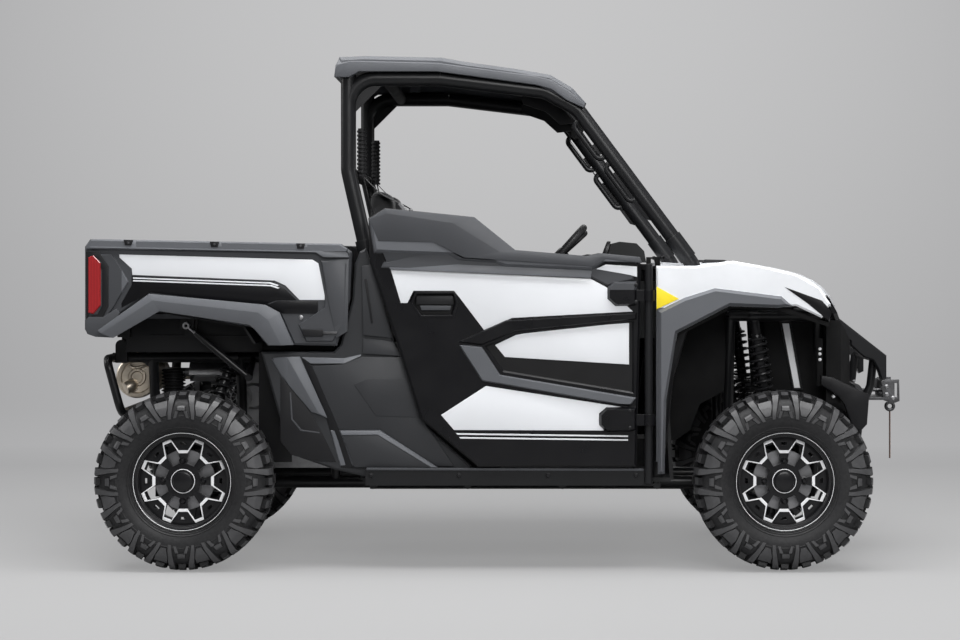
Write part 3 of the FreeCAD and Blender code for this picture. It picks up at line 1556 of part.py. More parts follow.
def front_body():
    right = fender()
    save("fender_right", right)
    save("fender_left", mirrored(right))
    box = (hood_rear_x, hood_front_x, hood_low_z, hood_high_z)
    top = fitted(hood_top_shares, *box)
    pin_z = top[0][1] + hood_barrel_radius + hub_gap
    barrels = []
    ears = []
    for sign in (-1, 1):
        y = sign * hood_barrel_y
        low_y = y - hood_barrel_half
        high_y = y + hood_barrel_half
        barrel = rod(V(hood_pin_x, low_y, pin_z), V(hood_pin_x, high_y, pin_z),
                     hood_barrel_radius)
        foot = block(hood_pin_x, hood_pin_x + 2 * hood_barrel_radius, low_y, high_y,
                     pin_z - 2 * hood_barrel_radius, pin_z)
        barrels += [barrel, foot]
        ear_y = high_y + hub_gap
        ears.append(rod(V(hood_pin_x, ear_y, pin_z), V(hood_pin_x, ear_y + overrun, pin_z),
                        hood_barrel_radius))
        ears.append(block(cowl_front_x - overrun, hood_pin_x, ear_y, ear_y + overrun,
                          pin_z - hood_barrel_radius / 2, pin_z + hood_barrel_radius / 2))
        ears.append(block(cowl_front_x - overrun, cowl_front_x, ear_y, ear_y + overrun,
                          cowl_low_z + overrun, pin_z))
        ears.append(rod(V(hood_pin_x, low_y, pin_z), V(hood_pin_x, ear_y + overrun, pin_z),
                        hood_pin_radius))
    bores = [rod(V(hood_pin_x, -hood_half_width, pin_z), V(hood_pin_x, hood_half_width, pin_z),
                 hood_pin_radius + running_gap)]
    save("hood", joined([hood_panel()] + barrels).cut(bores[0]))
    cowl = side_plate([
        (cowl_rear_x, cowl_low_z + seat_gap), (cowl_rear_x, cowl_high_z),
        (cowl_front_x, cowl_high_z - overrun), (cowl_front_x, cowl_low_z + seat_gap)],
        -fender_inner_y + seat_gap, fender_inner_y - seat_gap)
    save("cowl", joined([cowl] + ears))
    dash()


def dash():
    """Instrument panel with its hood over the gauges, a glove box field and a console."""
    body = block(dash_rear_x, cowl_rear_x - seat_gap, -dash_half_width, dash_half_width,
                 dash_low_z, dash_high_z)
    lower = block(cowl_rear_x - overrun, dash_front_x, -dash_half_width, dash_half_width,
                  dash_low_z, cowl_low_z)
    pod_low_y = wheel_centre_y - pod_half_width
    pod_high_y = wheel_centre_y + pod_half_width
    hooded = side_plate(
        fitted(pod_shares, pod_rear_x, pod_front_x, dash_high_z + seat_gap, pod_high_z),
        pod_low_y, pod_high_y)
    neck = block(pod_rear_x, cowl_rear_x - seat_gap, pod_low_y, pod_high_y, dash_high_z - overrun,
                 dash_high_z + weld_depth)
    glove_field = pressed(
        [(-glove_far_y, dash_low_z + glove_border), (-glove_near_y, dash_low_z + glove_border),
         (-glove_near_y, dash_high_z - glove_border), (-glove_far_y, dash_high_z - glove_border)],
        dash_rear_x, dash_rear_x - glove_depth, glove_depth, front_point)
    console = side_plate(
        fitted(console_shares, dash_rear_x - console_depth, dash_rear_x + weld_depth, dash_low_z,
               dash_high_z), -console_half_width, console_half_width)
    centre, axis = column_line()
    column_room = rod(centre, centre + axis * (column_length + moving_gap),
                      column_radius + seat_gap)
    forms = [body, lower, hooded, neck, glove_field, console]
    save("dash", joined(forms).cut(column_room))


def brow_outline():
    return fitted(brow_shares, brow_rear_x, brow_front_x, brow_low_z, brow_high_z)


def lamp_outline():
    return fitted(headlamp_shares, headlamp_rear_x, headlamp_front_x, headlamp_low_z,
                  headlamp_high_z)


def fascia():
    """A moulded nose with an open grille between its swept cheeks."""
    shell = side_plate(
        fitted(fascia_shares, fascia_rear_x, fascia_front_x, fascia_low_z, fascia_high_z),
        -fascia_half_width, fascia_half_width)
    for sign in (-1, 1):
        shell = shell.cut(top_plate([
            (fascia_front_x - fascia_sweep, sign * (fascia_half_width + overrun)),
            (fascia_front_x + overrun, sign * (fascia_half_width + overrun)),
            (fascia_front_x + overrun, sign * (fascia_half_width - 2 * fascia_sweep))],
            fascia_low_z - overrun, fascia_high_z + overrun))
        near = sign * brow_inner_y - sign * seat_gap
        far = sign * brow_outer_y + sign * seat_gap
        shell = shell.cut(side_plate(inset(brow_outline(), -seat_gap), near, far))
    mouth = block(fascia_rear_x - overrun, fascia_front_x + overrun, -grille_half_width,
                  grille_half_width, grille_low_z, grille_high_z)
    slats = []
    pitch = (grille_high_z - grille_low_z) / (grille_slats + 1)
    for place in range(grille_slats):
        z = grille_low_z + pitch * (place + 1)
        slats.append(side_plate([
            (fascia_front_x - grille_depth, z + slat_thickness), (fascia_front_x - grille_depth, z),
            (fascia_front_x - slat_thickness, z - slat_thickness),
            (fascia_front_x - slat_thickness, z)], -grille_half_width, grille_half_width))
    return joined([shell.cut(mouth)] + slats)


def front_end():
    """Fascia, headlamps and the guard: two brow plates, cross bars, uprights and cheeks."""
    lamp = moulded(lamp_outline(), -headlamp_inner_y, -headlamp_outer_y, headlamp_edge)
    save("headlamps", group([lamp, mirrored(lamp)]))
    save("front_fascia", fascia())
    cheek = fitted(cheek_shares, cheek_rear_x, cheek_front_x, cheek_low_z, cheek_high_z)
    parts = []
    for sign in (-1, 1):
        parts.append(moulded(brow_outline(), sign * brow_inner_y, sign * brow_outer_y, brow_edge))
        parts.append(moulded(cheek, sign * cheek_inner_y, sign * cheek_outer_y, brow_edge))
        bends = fitted(upright_shares, cheek_rear_x, brow_front_x, cheek_low_z, brow_high_z)
        path = [V(x, sign * upright_y, z) for x, z in bends]
        path.append(V(rail_nose_x, sign * upright_y, rail_nose_z + tube_radius + seat_gap))
        parts.append(bent_tube(path, front_guard_radius, frame_bend / 2))
    for x, z, half in ((brow_bar_x, brow_bar_z, brow_outer_y - brow_edge),
                       (guard_cross_x, guard_cross_z, cheek_outer_y - brow_edge),
                       (cheek_bar_x, cheek_bar_z, cheek_outer_y - brow_edge)):
        parts.append(rod(V(x, -half, z), V(x, half, z), guard_bar_radius))
    save("front_guard", joined(parts))



def winch():
    drum = rod(V(winch_x, -winch_half, winch_z), V(winch_x, winch_half, winch_z), winch_drum_radius)
    plate_low = guard_cross_z + guard_bar_radius + seat_gap
    plate = block(
        fascia_front_x + seat_gap, fairlead_front_x, -winch_half, winch_half,
        plate_low, plate_low + slat_thickness)
    fairlead = block(
        fairlead_front_x - fairlead_thickness, fairlead_front_x, -fairlead_half_width,
        fairlead_half_width, winch_z - fairlead_half_height, winch_z + fairlead_half_height)
    slot = block(
        fairlead_front_x - fairlead_thickness - overrun, fairlead_front_x + overrun,
        -fairlead_slot_half, fairlead_slot_half,
        winch_z - fairlead_slot_half_height, winch_z + fairlead_slot_half_height)
    ring_z = winch_z - hook_drop
    ring_top = ring_z + hook_radius - hook_wire_radius
    shank = rod(V(winch_x, 0, winch_z), V(fairlead_front_x, 0, winch_z), hook_wire_radius)
    hanger = rod(V(fairlead_front_x - hook_wire_radius, 0, winch_z), V(hook_x, 0, ring_top),
                 hook_wire_radius)
    ring = Part.makeTorus(hook_radius - hook_wire_radius, hook_wire_radius, V(hook_x, 0, ring_z),
                          V(0, 1, 0))
    save("winch", joined([drum, plate, fairlead.cut(slot), shank, hanger, ring]))
    strap_top = ring_z - hook_radius - seat_gap
    save("hook_strap", block(
        hook_x - strap_thickness / 2, hook_x + strap_thickness / 2, -strap_width / 2,
        strap_width / 2, strap_top - strap_length, strap_top))


def seats():
    cushions = []
    backs = []
    for sign in (-1, 1):
        low_y = sign * seat_y - seat_half_width
        high_y = sign * seat_y + seat_half_width
        cushions.append(block(cushion_rear_x, cushion_front_x, low_y, high_y,
                              cushion_low_z, cushion_high_z))
        back = side_plate([
            (back_low_x, back_low_z), (back_low_x + back_thickness, back_low_z),
            (back_low_x + back_thickness - back_lean, back_high_z), (back_low_x - back_lean / 4, back_high_z)],
            low_y, high_y)
        headrest = block(
            back_low_x - back_lean / 4, back_low_x + back_lean / 2,
            sign * seat_y - headrest_half_width, sign * seat_y + headrest_half_width,
            back_high_z - overrun, headrest_high_z)
        backs.append(joined([back, headrest]))
    save("seat_cushions", group(cushions))
    save("seat_backs", group(backs))


def belts():
    """Ribbed sleeves that hang beside the seats, with the webbing led down to the seat."""
    pieces = []
    x = b_pillar_x + cross_tube_radius + belt_boot_radius + seat_gap
    pitch = (belt_boot_top_z - belt_boot_low_z) / belt_ribs
    profile = [V(0, 0, belt_boot_low_z)]
    for rib in range(belt_ribs):
        z = belt_boot_low_z + pitch * rib
        profile += [V(belt_boot_radius, 0, z), V(belt_boot_radius, 0, z + pitch / 2),
                    V(belt_boot_radius - belt_rib_depth, 0, z + pitch / 2),
                    V(belt_boot_radius - belt_rib_depth, 0, z + pitch)]
    profile.append(V(0, 0, belt_boot_top_z))
    sleeve_shape = Part.Face(Part.makePolygon(profile + profile[:1])).revolve(
        V(0, 0, 0), V(0, 0, 1), 360)
    for sign in (-1, 1):
        y = sign * belt_boot_y
        boot = sleeve_shape.copy()
        boot.translate(V(x, y, 0))
        top_x = x + belt_thickness
        line = [(top_x, belt_boot_low_z + pitch), (belt_low_x, back_high_z + seat_gap)]
        back = [(x - belt_thickness, z) for x, z in reversed(line)]
        web = side_plate(line + back, y - belt_width / 2, y + belt_width / 2)
        pieces.append(joined([boot, web]))
    save("seat_belts", group(pieces))


def column_line():
    """The steering wheel's centre and the direction of its column, forward and down."""
    lean = math.radians(steering_lean)
    return V(wheel_centre_x, wheel_centre_y, wheel_centre_z), V(math.cos(lean), 0, -math.sin(lean))


def steering_wheel():
    centre, axis = column_line()
    ring = Part.makeTorus(steering_radius - steering_grip_radius, steering_grip_radius, centre, axis)
    hub = rod(centre - axis * steering_grip_radius, centre + axis * hub_cap_radius, steering_hub_radius)
    column = rod(centre, centre + axis * column_length, column_radius)
    spokes = []
    for turn in (spoke_turn, spoke_turn + 120, spoke_turn - 120):
        spoke = rod(centre, centre + V(0, steering_radius - steering_grip_radius, 0), steering_grip_radius * 0.7)
        spoke.rotate(centre, axis, turn)
        spokes.append(spoke)
    save("steering_wheel", joined([ring, hub, column] + spokes))


def intake():
    """A ribbed rubber bellows, turned about an upright axis, with a neck to the engine."""
    pitch = (intake_high_z - intake_low_z) / intake_ribs
    profile = [V(0, 0, intake_low_z)]
    for rib in range(intake_ribs):
        z = intake_low_z + pitch * rib
        profile += [V(intake_neck_radius, 0, z), V(intake_radius, 0, z + pitch * 0.3),
                    V(intake_radius, 0, z + pitch * 0.6)]
    profile += [V(intake_neck_radius, 0, intake_high_z), V(0, 0, intake_high_z)]
    bellows = Part.Face(Part.makePolygon(profile + profile[:1])).revolve(
        V(0, 0, 0), V(0, 0, 1), 360)
    bellows.translate(V(intake_x, intake_y, 0))
    neck_z = intake_high_z - pitch
    neck = rod(V(intake_x, intake_y, neck_z), V(shield_rear_x + overrun, intake_y, neck_z),
               intake_neck_radius * 0.6)
    return [bellows, neck]


def engine():
    """The engine as a block, with its covers, heat shield and intake bellows open to view."""
    low_z = engine_low_z + rail_radius
    body = moulded([
        (-engine_half_width, low_z), (engine_half_width, low_z),
        (engine_half_width, engine_high_z), (-engine_half_width, engine_high_z)],
        engine_rear_x, engine_front_x, overrun, front_point)
    clutch = Part.makeCone(
        clutch_cover_radius, clutch_cover_radius * 0.85, clutch_cover_thickness,
        V(clutch_cover_x, engine_half_width, clutch_cover_z), V(0, 1, 0))
    fan = Part.makeCone(
        fan_cover_radius, fan_cover_radius * 0.8, fan_cover_thickness,
        V(fan_cover_x, -engine_half_width, fan_cover_z), V(0, -1, 0))
    shield_front_x = engine_rear_x + 2 * overrun
    shield = moulded([
        (shield_rear_x, shield_low_z), (shield_front_x, shield_low_z),
        (shield_front_x, engine_high_z), (shield_rear_x + overrun, engine_high_z - overrun / 2),
        (shield_rear_x, engine_high_z - 2 * overrun)],
        -shield_inner_y, -engine_half_width, overrun)
    save("engine", joined([body, clutch, fan, shield] + intake()))
    low_y = -muffler_half_length
    high_y = muffler_half_length / 2
    profile = [
        V(0, low_y, 0), V(muffler_radius - 2 * muffler_cap, low_y, 0),
        V(muffler_radius, low_y + muffler_cap, 0), V(muffler_radius, high_y - muffler_cap, 0),
        V(muffler_radius - 2 * muffler_cap, high_y, 0), V(0, high_y, 0)]
    can = Part.Face(Part.makePolygon(profile + profile[:1])).revolve(V(0, 0, 0), V(0, 1, 0), 360)
    can.translate(V(muffler_x, 0, muffler_z))
    pipe = rod(V(muffler_x, 0, muffler_z), V(engine_rear_x - seat_gap, 0, muffler_z), pipe_radius)
    save("muffler", joined([can, pipe]))


wheels()
running_gear()
tie_rods()
front_drive()
rear_drive()
save("frame", frame())
floor_pan()
side_bars()
doors()
bed()
bed_frame()
tailgate()
lift_strut()
quarter_panels()
cage()
roof()
front_body()
front_end()
winch()
seats()
belts()
steering_wheel()
engine()
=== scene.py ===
import json
import math

import bmesh
import bpy
from mathutils import Matrix, Vector


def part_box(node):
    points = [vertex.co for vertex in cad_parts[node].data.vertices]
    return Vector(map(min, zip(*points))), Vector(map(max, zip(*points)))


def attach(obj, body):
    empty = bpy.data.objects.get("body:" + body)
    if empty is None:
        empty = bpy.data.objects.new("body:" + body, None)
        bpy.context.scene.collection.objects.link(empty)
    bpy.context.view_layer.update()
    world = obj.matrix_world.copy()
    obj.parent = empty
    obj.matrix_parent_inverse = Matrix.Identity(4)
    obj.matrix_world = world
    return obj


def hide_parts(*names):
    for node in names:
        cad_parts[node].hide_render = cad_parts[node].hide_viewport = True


# A side by side utility vehicle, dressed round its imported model, in metres.
# +X is forward, +Y is the vehicle's left and +Z is up.

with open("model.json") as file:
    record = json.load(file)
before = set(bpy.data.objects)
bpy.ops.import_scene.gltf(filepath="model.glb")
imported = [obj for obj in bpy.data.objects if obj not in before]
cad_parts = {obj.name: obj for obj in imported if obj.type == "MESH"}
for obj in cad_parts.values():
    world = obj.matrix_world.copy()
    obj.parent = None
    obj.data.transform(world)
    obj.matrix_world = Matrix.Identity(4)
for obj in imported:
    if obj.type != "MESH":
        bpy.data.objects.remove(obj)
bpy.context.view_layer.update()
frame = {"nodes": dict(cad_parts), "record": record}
nodes = frame["nodes"]
mm = 0.001

# The camera stands square to the vehicle's right side.
picture_width = 960
focal_pixels = 2321
axis_pixel = (515.5, 262)
picture_centre = (480, 320)
camera_place = Vector((0.042, -9.8, 1.208))
sensor_width = 36


def make_camera():
    """A camera that looks along +Y, shifted so that its axis meets its pixel of the photograph."""
    camera = bpy.data.cameras.new("camera")
    camera.sensor_width = sensor_width
    camera.lens = focal_pixels / picture_width * sensor_width
    camera.shift_x = (picture_centre[0] - axis_pixel[0]) / picture_width
    camera.shift_y = (axis_pixel[1] - picture_centre[1]) / picture_width
    holder = bpy.data.objects.new("camera", camera)
    holder.location = camera_place
    holder.rotation_euler = (math.radians(90), 0, 0)
    bpy.context.scene.collection.objects.link(holder)
    bpy.context.scene.camera = holder


def seen(pixel, depth):
    """The point on the plane y = depth that stands at a pixel of the photograph."""
    reach = (depth - camera_place.y) / focal_pixels
    x = camera_place.x + (pixel[0] - axis_pixel[0]) * reach
    z = camera_place.z + (axis_pixel[1] - pixel[1]) * reach
    return Vector((x, depth, z))


def math_node(operation):
    """The method of one of Python's operators, which adds a Math node."""
    return lambda self, other: self.math(operation, self, other)


class Value:
    """A shader socket on which Python's operators add Math nodes."""

    def __init__(self, finish, socket):
        self.finish = finish
        self.socket = socket

    def math(self, operation, *values):
        """The result of a Math node."""
        return self.finish.node("ShaderNodeMath", {"operation": operation}, values)

    def __rsub__(self, other):
        return self.math("SUBTRACT", other, self)

    def __abs__(self):
        return self.math("ABSOLUTE", self)

    __add__ = __radd__ = math_node("ADD")
    __sub__ = math_node("SUBTRACT")
    __mul__ = __rmul__ = math_node("MULTIPLY")
    __truediv__ = math_node("DIVIDE")
    __mod__ = math_node("FLOORED_MODULO")
    __gt__ = math_node("GREATER_THAN")
    __lt__ = math_node("LESS_THAN")


class Finish:
    """A material whose nodes are added by one method and joined to its shader by name."""

    def __init__(self, name, colour, roughness, **constants):
        self.material = bpy.data.materials.new(name)
        self.material.use_nodes = True
        self.tree = self.material.node_tree
        self.shader = self.tree.nodes["Principled BSDF"]
        self.material.diffuse_color = (*colour, 1)
        self.feed("Base Color", (*colour, 1))
        self.feed("Roughness", roughness)
        for socket, value in constants.items():
            self.feed(socket.replace("_", " "), value)
        self.place = self.node("ShaderNodeTexCoord", output="Object")

    def node(self, kind, settings=None, inputs=(), output=0):
        """Adds a node with its settings and inputs, and gives one of its outputs."""
        made = self.tree.nodes.new(kind)
        for key, value in (settings or {}).items():
            setattr(made, key, value)
        pairs = inputs.items() if isinstance(inputs, dict) else enumerate(inputs)
        for key, value in pairs:
            self.join(value, made.inputs[key])
        return Value(self, made.outputs[output])

    def join(self, value, socket):
        """Links another node's output to a socket, or sets it."""
        if isinstance(value, Value):
            self.tree.links.new(value.socket, socket)
        else:
            socket.default_value = value

    def feed(self, socket, value):
        """Joins a value to the shader's input of a name."""
        self.join(value, self.shader.inputs[socket])

    def noise(self, scale, detail=3.0):
        """Soft noise over the object's own places."""
        return self.node("ShaderNodeTexNoise", inputs={
            "Vector": self.place, "Scale": scale, "Detail": detail, "Roughness": 0.55})

    def cells(self, scale):
        """The distance to the middle of the nearest of many small cells."""
        return self.node("ShaderNodeTexVoronoi", inputs={"Vector": self.place, "Scale": scale})

    def span(self, value, low, high, to_low=0.0, to_high=1.0):
        """A value's place between two limits, as a value between two others."""
        return self.node("ShaderNodeMapRange", inputs=[value, low, high, to_low, to_high])

    def blend(self, factor, first, second):
        """A mix of two colours."""
        made = self.tree.nodes.new("ShaderNodeMix")
        made.data_type = "RGBA"
        self.join(factor, made.inputs["Factor"])
        for socket, colour in zip(made.inputs[6:8], (first, second)):
            self.join(colour if isinstance(colour, Value) else (*colour, 1), socket)
        return Value(self, made.outputs[2])

    def axes(self):
        """The place's X, Y and Z."""
        split = self.node("ShaderNodeSeparateXYZ", inputs=[self.place])
        sockets = split.socket.node.outputs
        return [Value(self, socket) for socket in sockets]

    def backdrop(self, colour, share):
        """Seen straight from the camera, a share of the surface glows in the given colour, whatever the
        lamps do.
        """
        straight = self.node("ShaderNodeLightPath", output="Is Camera Ray")
        glow = self.node("ShaderNodeEmission", inputs={"Color": colour})
        lit = Value(self, self.shader.outputs["BSDF"])
        mixed = self.node("ShaderNodeMixShader", inputs={0: straight * share, 1: lit, 2: glow})
        self.join(mixed, self.tree.nodes["Material Output"].inputs["Surface"])

    def relief(self, height, strength, distance, edge=0.0):
        """A bump map, over edges rounded by the given radius."""
        inputs = {"Height": height, "Strength": strength, "Distance": distance}
        if edge:
            inputs["Normal"] = self.node("ShaderNodeBevel", {"samples": 4}, {"Radius": edge})
        self.feed("Normal", self.node("ShaderNodeBump", inputs=inputs))


soft_shine = 0.22
coat_roughness = 0.12


def toned(colour, factor, lift=0.0):
    """A colour made paler or deeper."""
    return tuple(channel * factor + lift for channel in colour)


def dusty(finish, colour, dust, grain, amount=0.5):
    """A colour that pales a little in soft patches, as handled plastic and rubber do."""
    patches = finish.span(finish.noise(3.5, 4.0), 0.35, 0.75, 0.0, amount)
    fine = finish.span(finish.noise(grain, 2.0), 0.3, 0.7, 0.0, 0.25)
    finish.feed("Base Color", finish.blend(patches + fine, colour, dust))


def grained_plastic(name, colour, roughness, edge=2.5 * mm):
    """Moulded plastic with a fine leather-like grain."""
    grain = 420.0
    finish = Finish(name, colour, roughness, Specular_IOR_Level=soft_shine)
    dusty(finish, colour, toned(colour, 1.3, 0.001), grain)
    cells = finish.cells(grain)
    finish.feed("Roughness", finish.span(finish.noise(9.0), 0.3, 0.7, roughness - 0.07, roughness + 0.07))
    finish.relief(cells, 0.16, 0.4 * mm, edge)
    return finish.material


def gloss_panel(name, colour, roughness, coat):
    """Moulded or printed panel with a clear top layer and slight orange peel."""
    finish = Finish(name, colour, roughness, Coat_Weight=coat, Coat_Roughness=coat_roughness,
                    Specular_IOR_Level=soft_shine)
    patches = finish.span(finish.noise(2.2), 0.35, 0.7)
    finish.feed("Base Color", finish.blend(patches, colour, toned(colour, 0.95)))
    finish.relief(finish.noise(160.0, 1.0), 0.04, 0.5 * mm, 2.0 * mm)
    return finish.material


def powder_coat(name, colour, roughness):
    """Satin black coating on steel tube, with a faint pebbled surface."""
    finish = Finish(name, colour, roughness, Coat_Weight=0.1, Coat_Roughness=0.25,
                    Specular_IOR_Level=soft_shine)
    dusty(finish, colour, toned(colour, 1.5), 260.0, 0.4)
    finish.relief(finish.noise(700.0, 1.0), 0.1, 0.3 * mm, 1.5 * mm)
    return finish.material


def bare_metal(name, colour, roughness, grain=220.0):
    """Cast, plated or sheet metal with uneven sheen."""
    finish = Finish(name, colour, roughness, Metallic=1.0)
    patches = finish.span(finish.noise(14.0, 4.0), 0.3, 0.75)
    finish.feed("Base Color", finish.blend(patches, colour, toned(colour, 0.62)))
    marks = finish.noise(grain)
    finish.feed("Roughness", finish.span(marks, 0.25, 0.75, roughness - 0.1, roughness + 0.15))
    finish.relief(marks, 0.15, 0.4 * mm, 1.2 * mm)
    return finish.material


def tyre_rubber():
    """Matte rubber, greyer where it has been on the ground."""
    finish = Finish("tyre_rubber", (0.014, 0.014, 0.015), 0.5, Specular_IOR_Level=soft_shine)
    dusty(finish, (0.011, 0.011, 0.012), (0.04, 0.04, 0.041), 90.0, 0.35)
    finish.relief(finish.noise(300.0, 4.0), 0.35, 0.6 * mm, 2.0 * mm)
    return finish.material


def tyre_lug():
    """The faces of the tread, greyer and smoother than its grooves: partly worn rubber, partly painted
    light, with the grooves kept darker as painted shade.
    """
    finish = Finish("tyre_lug", (0.05, 0.05, 0.052), 0.45)
    dusty(finish, (0.034, 0.034, 0.036), (0.075, 0.075, 0.078), 70.0, 0.6)
    finish.relief(finish.noise(160.0), 0.1, 0.4 * mm, 0.8 * mm)
    return finish.material


def woven(name, colour, thread, pitch):
    """Cloth or webbing: two crossed sets of threads."""
    finish = Finish(name, colour, 0.85, Sheen_Weight=0.15)
    x, y, z = finish.axes()
    warp = abs((x * 0.7 + y) / pitch % 1 - 0.5)
    weft = abs((z + x * 0.7) / pitch % 1 - 0.5)
    height = warp.math("MAXIMUM", warp, weft)
    finish.feed("Base Color", finish.blend(finish.span(height, 0.25, 0.5), thread, colour))
    finish.relief(height, 0.45, 0.5 * mm)
    return finish.material


def lens(name, colour, roughness, transmission=0.0):
    """A lamp lens with fine upright ribs."""
    finish = Finish(name, colour, roughness, Coat_Weight=0.8, Transmission_Weight=transmission)
    x, y, _ = finish.axes()
    ribs = abs((x + y) / (6 * mm) % 1 - 0.5)
    finish.feed("Base Color", finish.blend(finish.span(ribs, 0.1, 0.45), toned(colour, 0.55), colour))
    finish.relief(ribs, 0.2, 0.8 * mm)
    return finish.material


def zoned(name, base, zones):
    """One moulding in several colours. A zone is a mask made from the place, and its look."""
    colour, roughness, coat = base
    finish = Finish(name, colour, roughness, Coat_Roughness=coat_roughness,
                    Specular_IOR_Level=soft_shine)
    axes = finish.axes()
    patches = finish.span(finish.noise(3.0, 4.0), 0.35, 0.7)
    painted = finish.blend(patches, colour, toned(colour, 0.86))
    sheen = finish.span(finish.noise(9.0), 0.3, 0.7, -0.05, 0.05)
    rough = roughness + sheen
    clear = coat
    for mask_of, (tint, zone_roughness, zone_coat) in zones:
        mask = mask_of(*axes)
        painted = finish.blend(mask, painted, finish.blend(patches, tint, toned(tint, 1.12, 0.002)))
        rough = rough * (1 - mask) + mask * (sheen + zone_roughness)
        clear = clear * (1 - mask) + mask * zone_coat
    finish.feed("Base Color", painted)
    finish.feed("Roughness", rough)
    finish.feed("Coat Weight", clear)
    finish.relief(finish.cells(420.0), 0.1, 0.35 * mm, 2.0 * mm)
    return finish.material


# A tone is a colour, its roughness and its clear coat.
dark_grey = ((0.05, 0.052, 0.057), 0.44, 0.0)
quarter_tone = ((0.027, 0.028, 0.0305), 0.46, 0.0)
flare_tone = ((0.092, 0.096, 0.105), 0.4, 0.05)
black_gloss = ((0.004, 0.004, 0.005), 0.3, 0.12)
black_matte = ((0.004, 0.004, 0.0045), 0.6, 0.0)
white_gloss = ((0.74, 0.755, 0.78), 0.34, 0.5)

# Distances from the vehicle's middle beyond which a moulding stands out of its skin, in metres.
door_field = 0.7445
door_ridge = 0.7512
door_crest = 0.7585
bed_ridge = 0.7062
fender_field = 0.719
fender_flare = 0.7362
quarter_ridge = 0.6952

# Heights and lengths where the skins change colour, in metres.
door_shoulder_z = 1.1
door_crest_z = 1.15
door_band_z = (0.655, 0.884)
door_band_x = 0.36
bed_arch_x = (-1.5, -0.83)
bed_rail_z = 1.235
fender_foot_z = 0.9
fender_tail = (0.63, 1.03)
fender_top = (0.60, 1.04)

looks = {
    zoned: {
        "door_skin": (black_gloss, [
            (lambda x, y, z: abs(y) < door_field, black_matte),
            (lambda x, y, z: (abs(y) > door_ridge) * (z > door_shoulder_z), dark_grey),
            (lambda x, y, z: (abs(y) > door_ridge) * (z < door_band_z[1]) * (x < door_band_x), flare_tone),
            (lambda x, y, z: (abs(y) > door_ridge) * (z < door_band_z[1]) * (z > door_band_z[0]),
             flare_tone),
            (lambda x, y, z: (abs(y) > door_crest) * (z > door_crest_z), flare_tone)]),
        "bed_skin": (dark_grey, [
            (lambda x, y, z: (abs(y) > bed_ridge) * (x > bed_arch_x[0]) * (x < bed_arch_x[1]),
             flare_tone),
            (lambda x, y, z: (abs(y) > bed_ridge) * (z > bed_rail_z), flare_tone)]),
        "fender_skin": (white_gloss, [
            (lambda x, y, z: abs(y) < fender_field, black_matte),
            (lambda x, y, z: z < fender_foot_z, black_matte),
            (lambda x, y, z: abs(y) > fender_flare, flare_tone),
            (lambda x, y, z: (x < fender_tail[0]) * (z < fender_tail[1]) * (abs(y) > fender_field),
             flare_tone),
            (lambda x, y, z: (abs(y) < fender_field) * (z > fender_top[1]) * (x > fender_top[0]),
             white_gloss)]),
        "quarter_skin": (quarter_tone, [
            (lambda x, y, z: abs(y) > quarter_ridge, flare_tone)])},
    grained_plastic: {
        "floor_plastic": ((0.014, 0.0145, 0.015), 0.55),
        "body_dark_grey": dark_grey[:2],
        "roof_plastic": ((0.066, 0.069, 0.076), 0.42),
        "flare_grey": flare_tone[:2],
        "trim_black": ((0.008, 0.008, 0.009), 0.42, 1.5 * mm),
        "belt_black": ((0.012, 0.012, 0.013), 0.5),
        "quarter_grey": quarter_tone[:2],
        "liner_black": ((0.0025, 0.0025, 0.0028), 0.75)},
    powder_coat: {
        "frame_steel": ((0.008, 0.0082, 0.009), 0.34),
        "shock_black": ((0.012, 0.012, 0.013), 0.25)},
    gloss_panel: {
        "body_white": ((0.72, 0.735, 0.76), 0.34, 0.5),
        "body_black": black_gloss,
        "accent_yellow": ((0.86, 0.68, 0.03), 0.35, 0.4),
        "rim_black": ((0.006, 0.006, 0.007), 0.3, 0.2),
        "rim_cut": ((0.86, 0.865, 0.88), 0.3, 0.3)},
    lens: {
        "lamp_lens": ((0.1, 0.1, 0.11), 0.08, 0.4),
        "red_lens": ((0.36, 0.012, 0.015), 0.2)},
    bare_metal: {
        "bare_steel": ((0.42, 0.42, 0.43), 0.38),
        "engine_metal": ((0.4, 0.4, 0.41), 0.42, 90.0),
        "muffler_metal": ((0.72, 0.64, 0.53), 0.4),
        "cast_metal": ((0.1, 0.1, 0.105), 0.5, 120.0),
        "winch_grey": ((0.13, 0.13, 0.135), 0.42),
        "brake_grey": ((0.3, 0.3, 0.31), 0.4)},
    woven: {
        "webbing": ((0.26, 0.16, 0.12), (0.14, 0.08, 0.06), 2.6 * mm),
        "belt_web": ((0.02, 0.02, 0.022), (0.008, 0.008, 0.009), 2.0 * mm),
        "seat_cover": ((0.03, 0.03, 0.032), (0.014, 0.014, 0.015), 3.2 * mm)},
}
finishes = {name: make(name, *look) for make, rows in looks.items() for name, look in rows.items()}
finishes["tyre_rubber"] = tyre_rubber()
finishes["tyre_lug"] = tyre_lug()

skins = {
    "door_right": "door_skin", "door_left": "door_skin", "bed_tub": "bed_skin",
    "fender_right": "fender_skin", "fender_left": "fender_skin",
    "quarter_panels": "quarter_skin", "front_fascia": "liner_black", "winch": "winch_grey",
    # The cage's cross brace takes the near-black liner finish: painted shade, darker than its own steel.
    "cage_cross": "liner_black", "cowl": "liner_black",
}


def dress_nodes():
    """Gives each CAD node the finish of its slot, or that of its several coloured skin."""
    for part in frame["record"]["subparts"]:
        mesh = nodes[part["node"]].data
        mesh.materials.clear()
        finish = skins.get(part["node"], part["material_slot"])
        mesh.materials.append(finishes[finish])


sky_tone = (0.6, 0.6, 0.61, 1)
sky_strength = 0.36
floor_tone = (0.3, 0.3, 0.3025)
# The wall's glow is painted light, brightest in its middle and darker towards its corners.
wall_painted_light_middle = (0.56, 0.56, 0.565)
wall_painted_light_corner = (0.38, 0.38, 0.386)
floor_glow = (0.62, 0.62, 0.624)
floor_share = 0.44
wall_start = 1.4
wall_full = 5.5

sweep_half = 40.0
bend_start = 9.0
bend_radius = 7.0
bend_steps = 14
painted_light_middle_z = 4.2

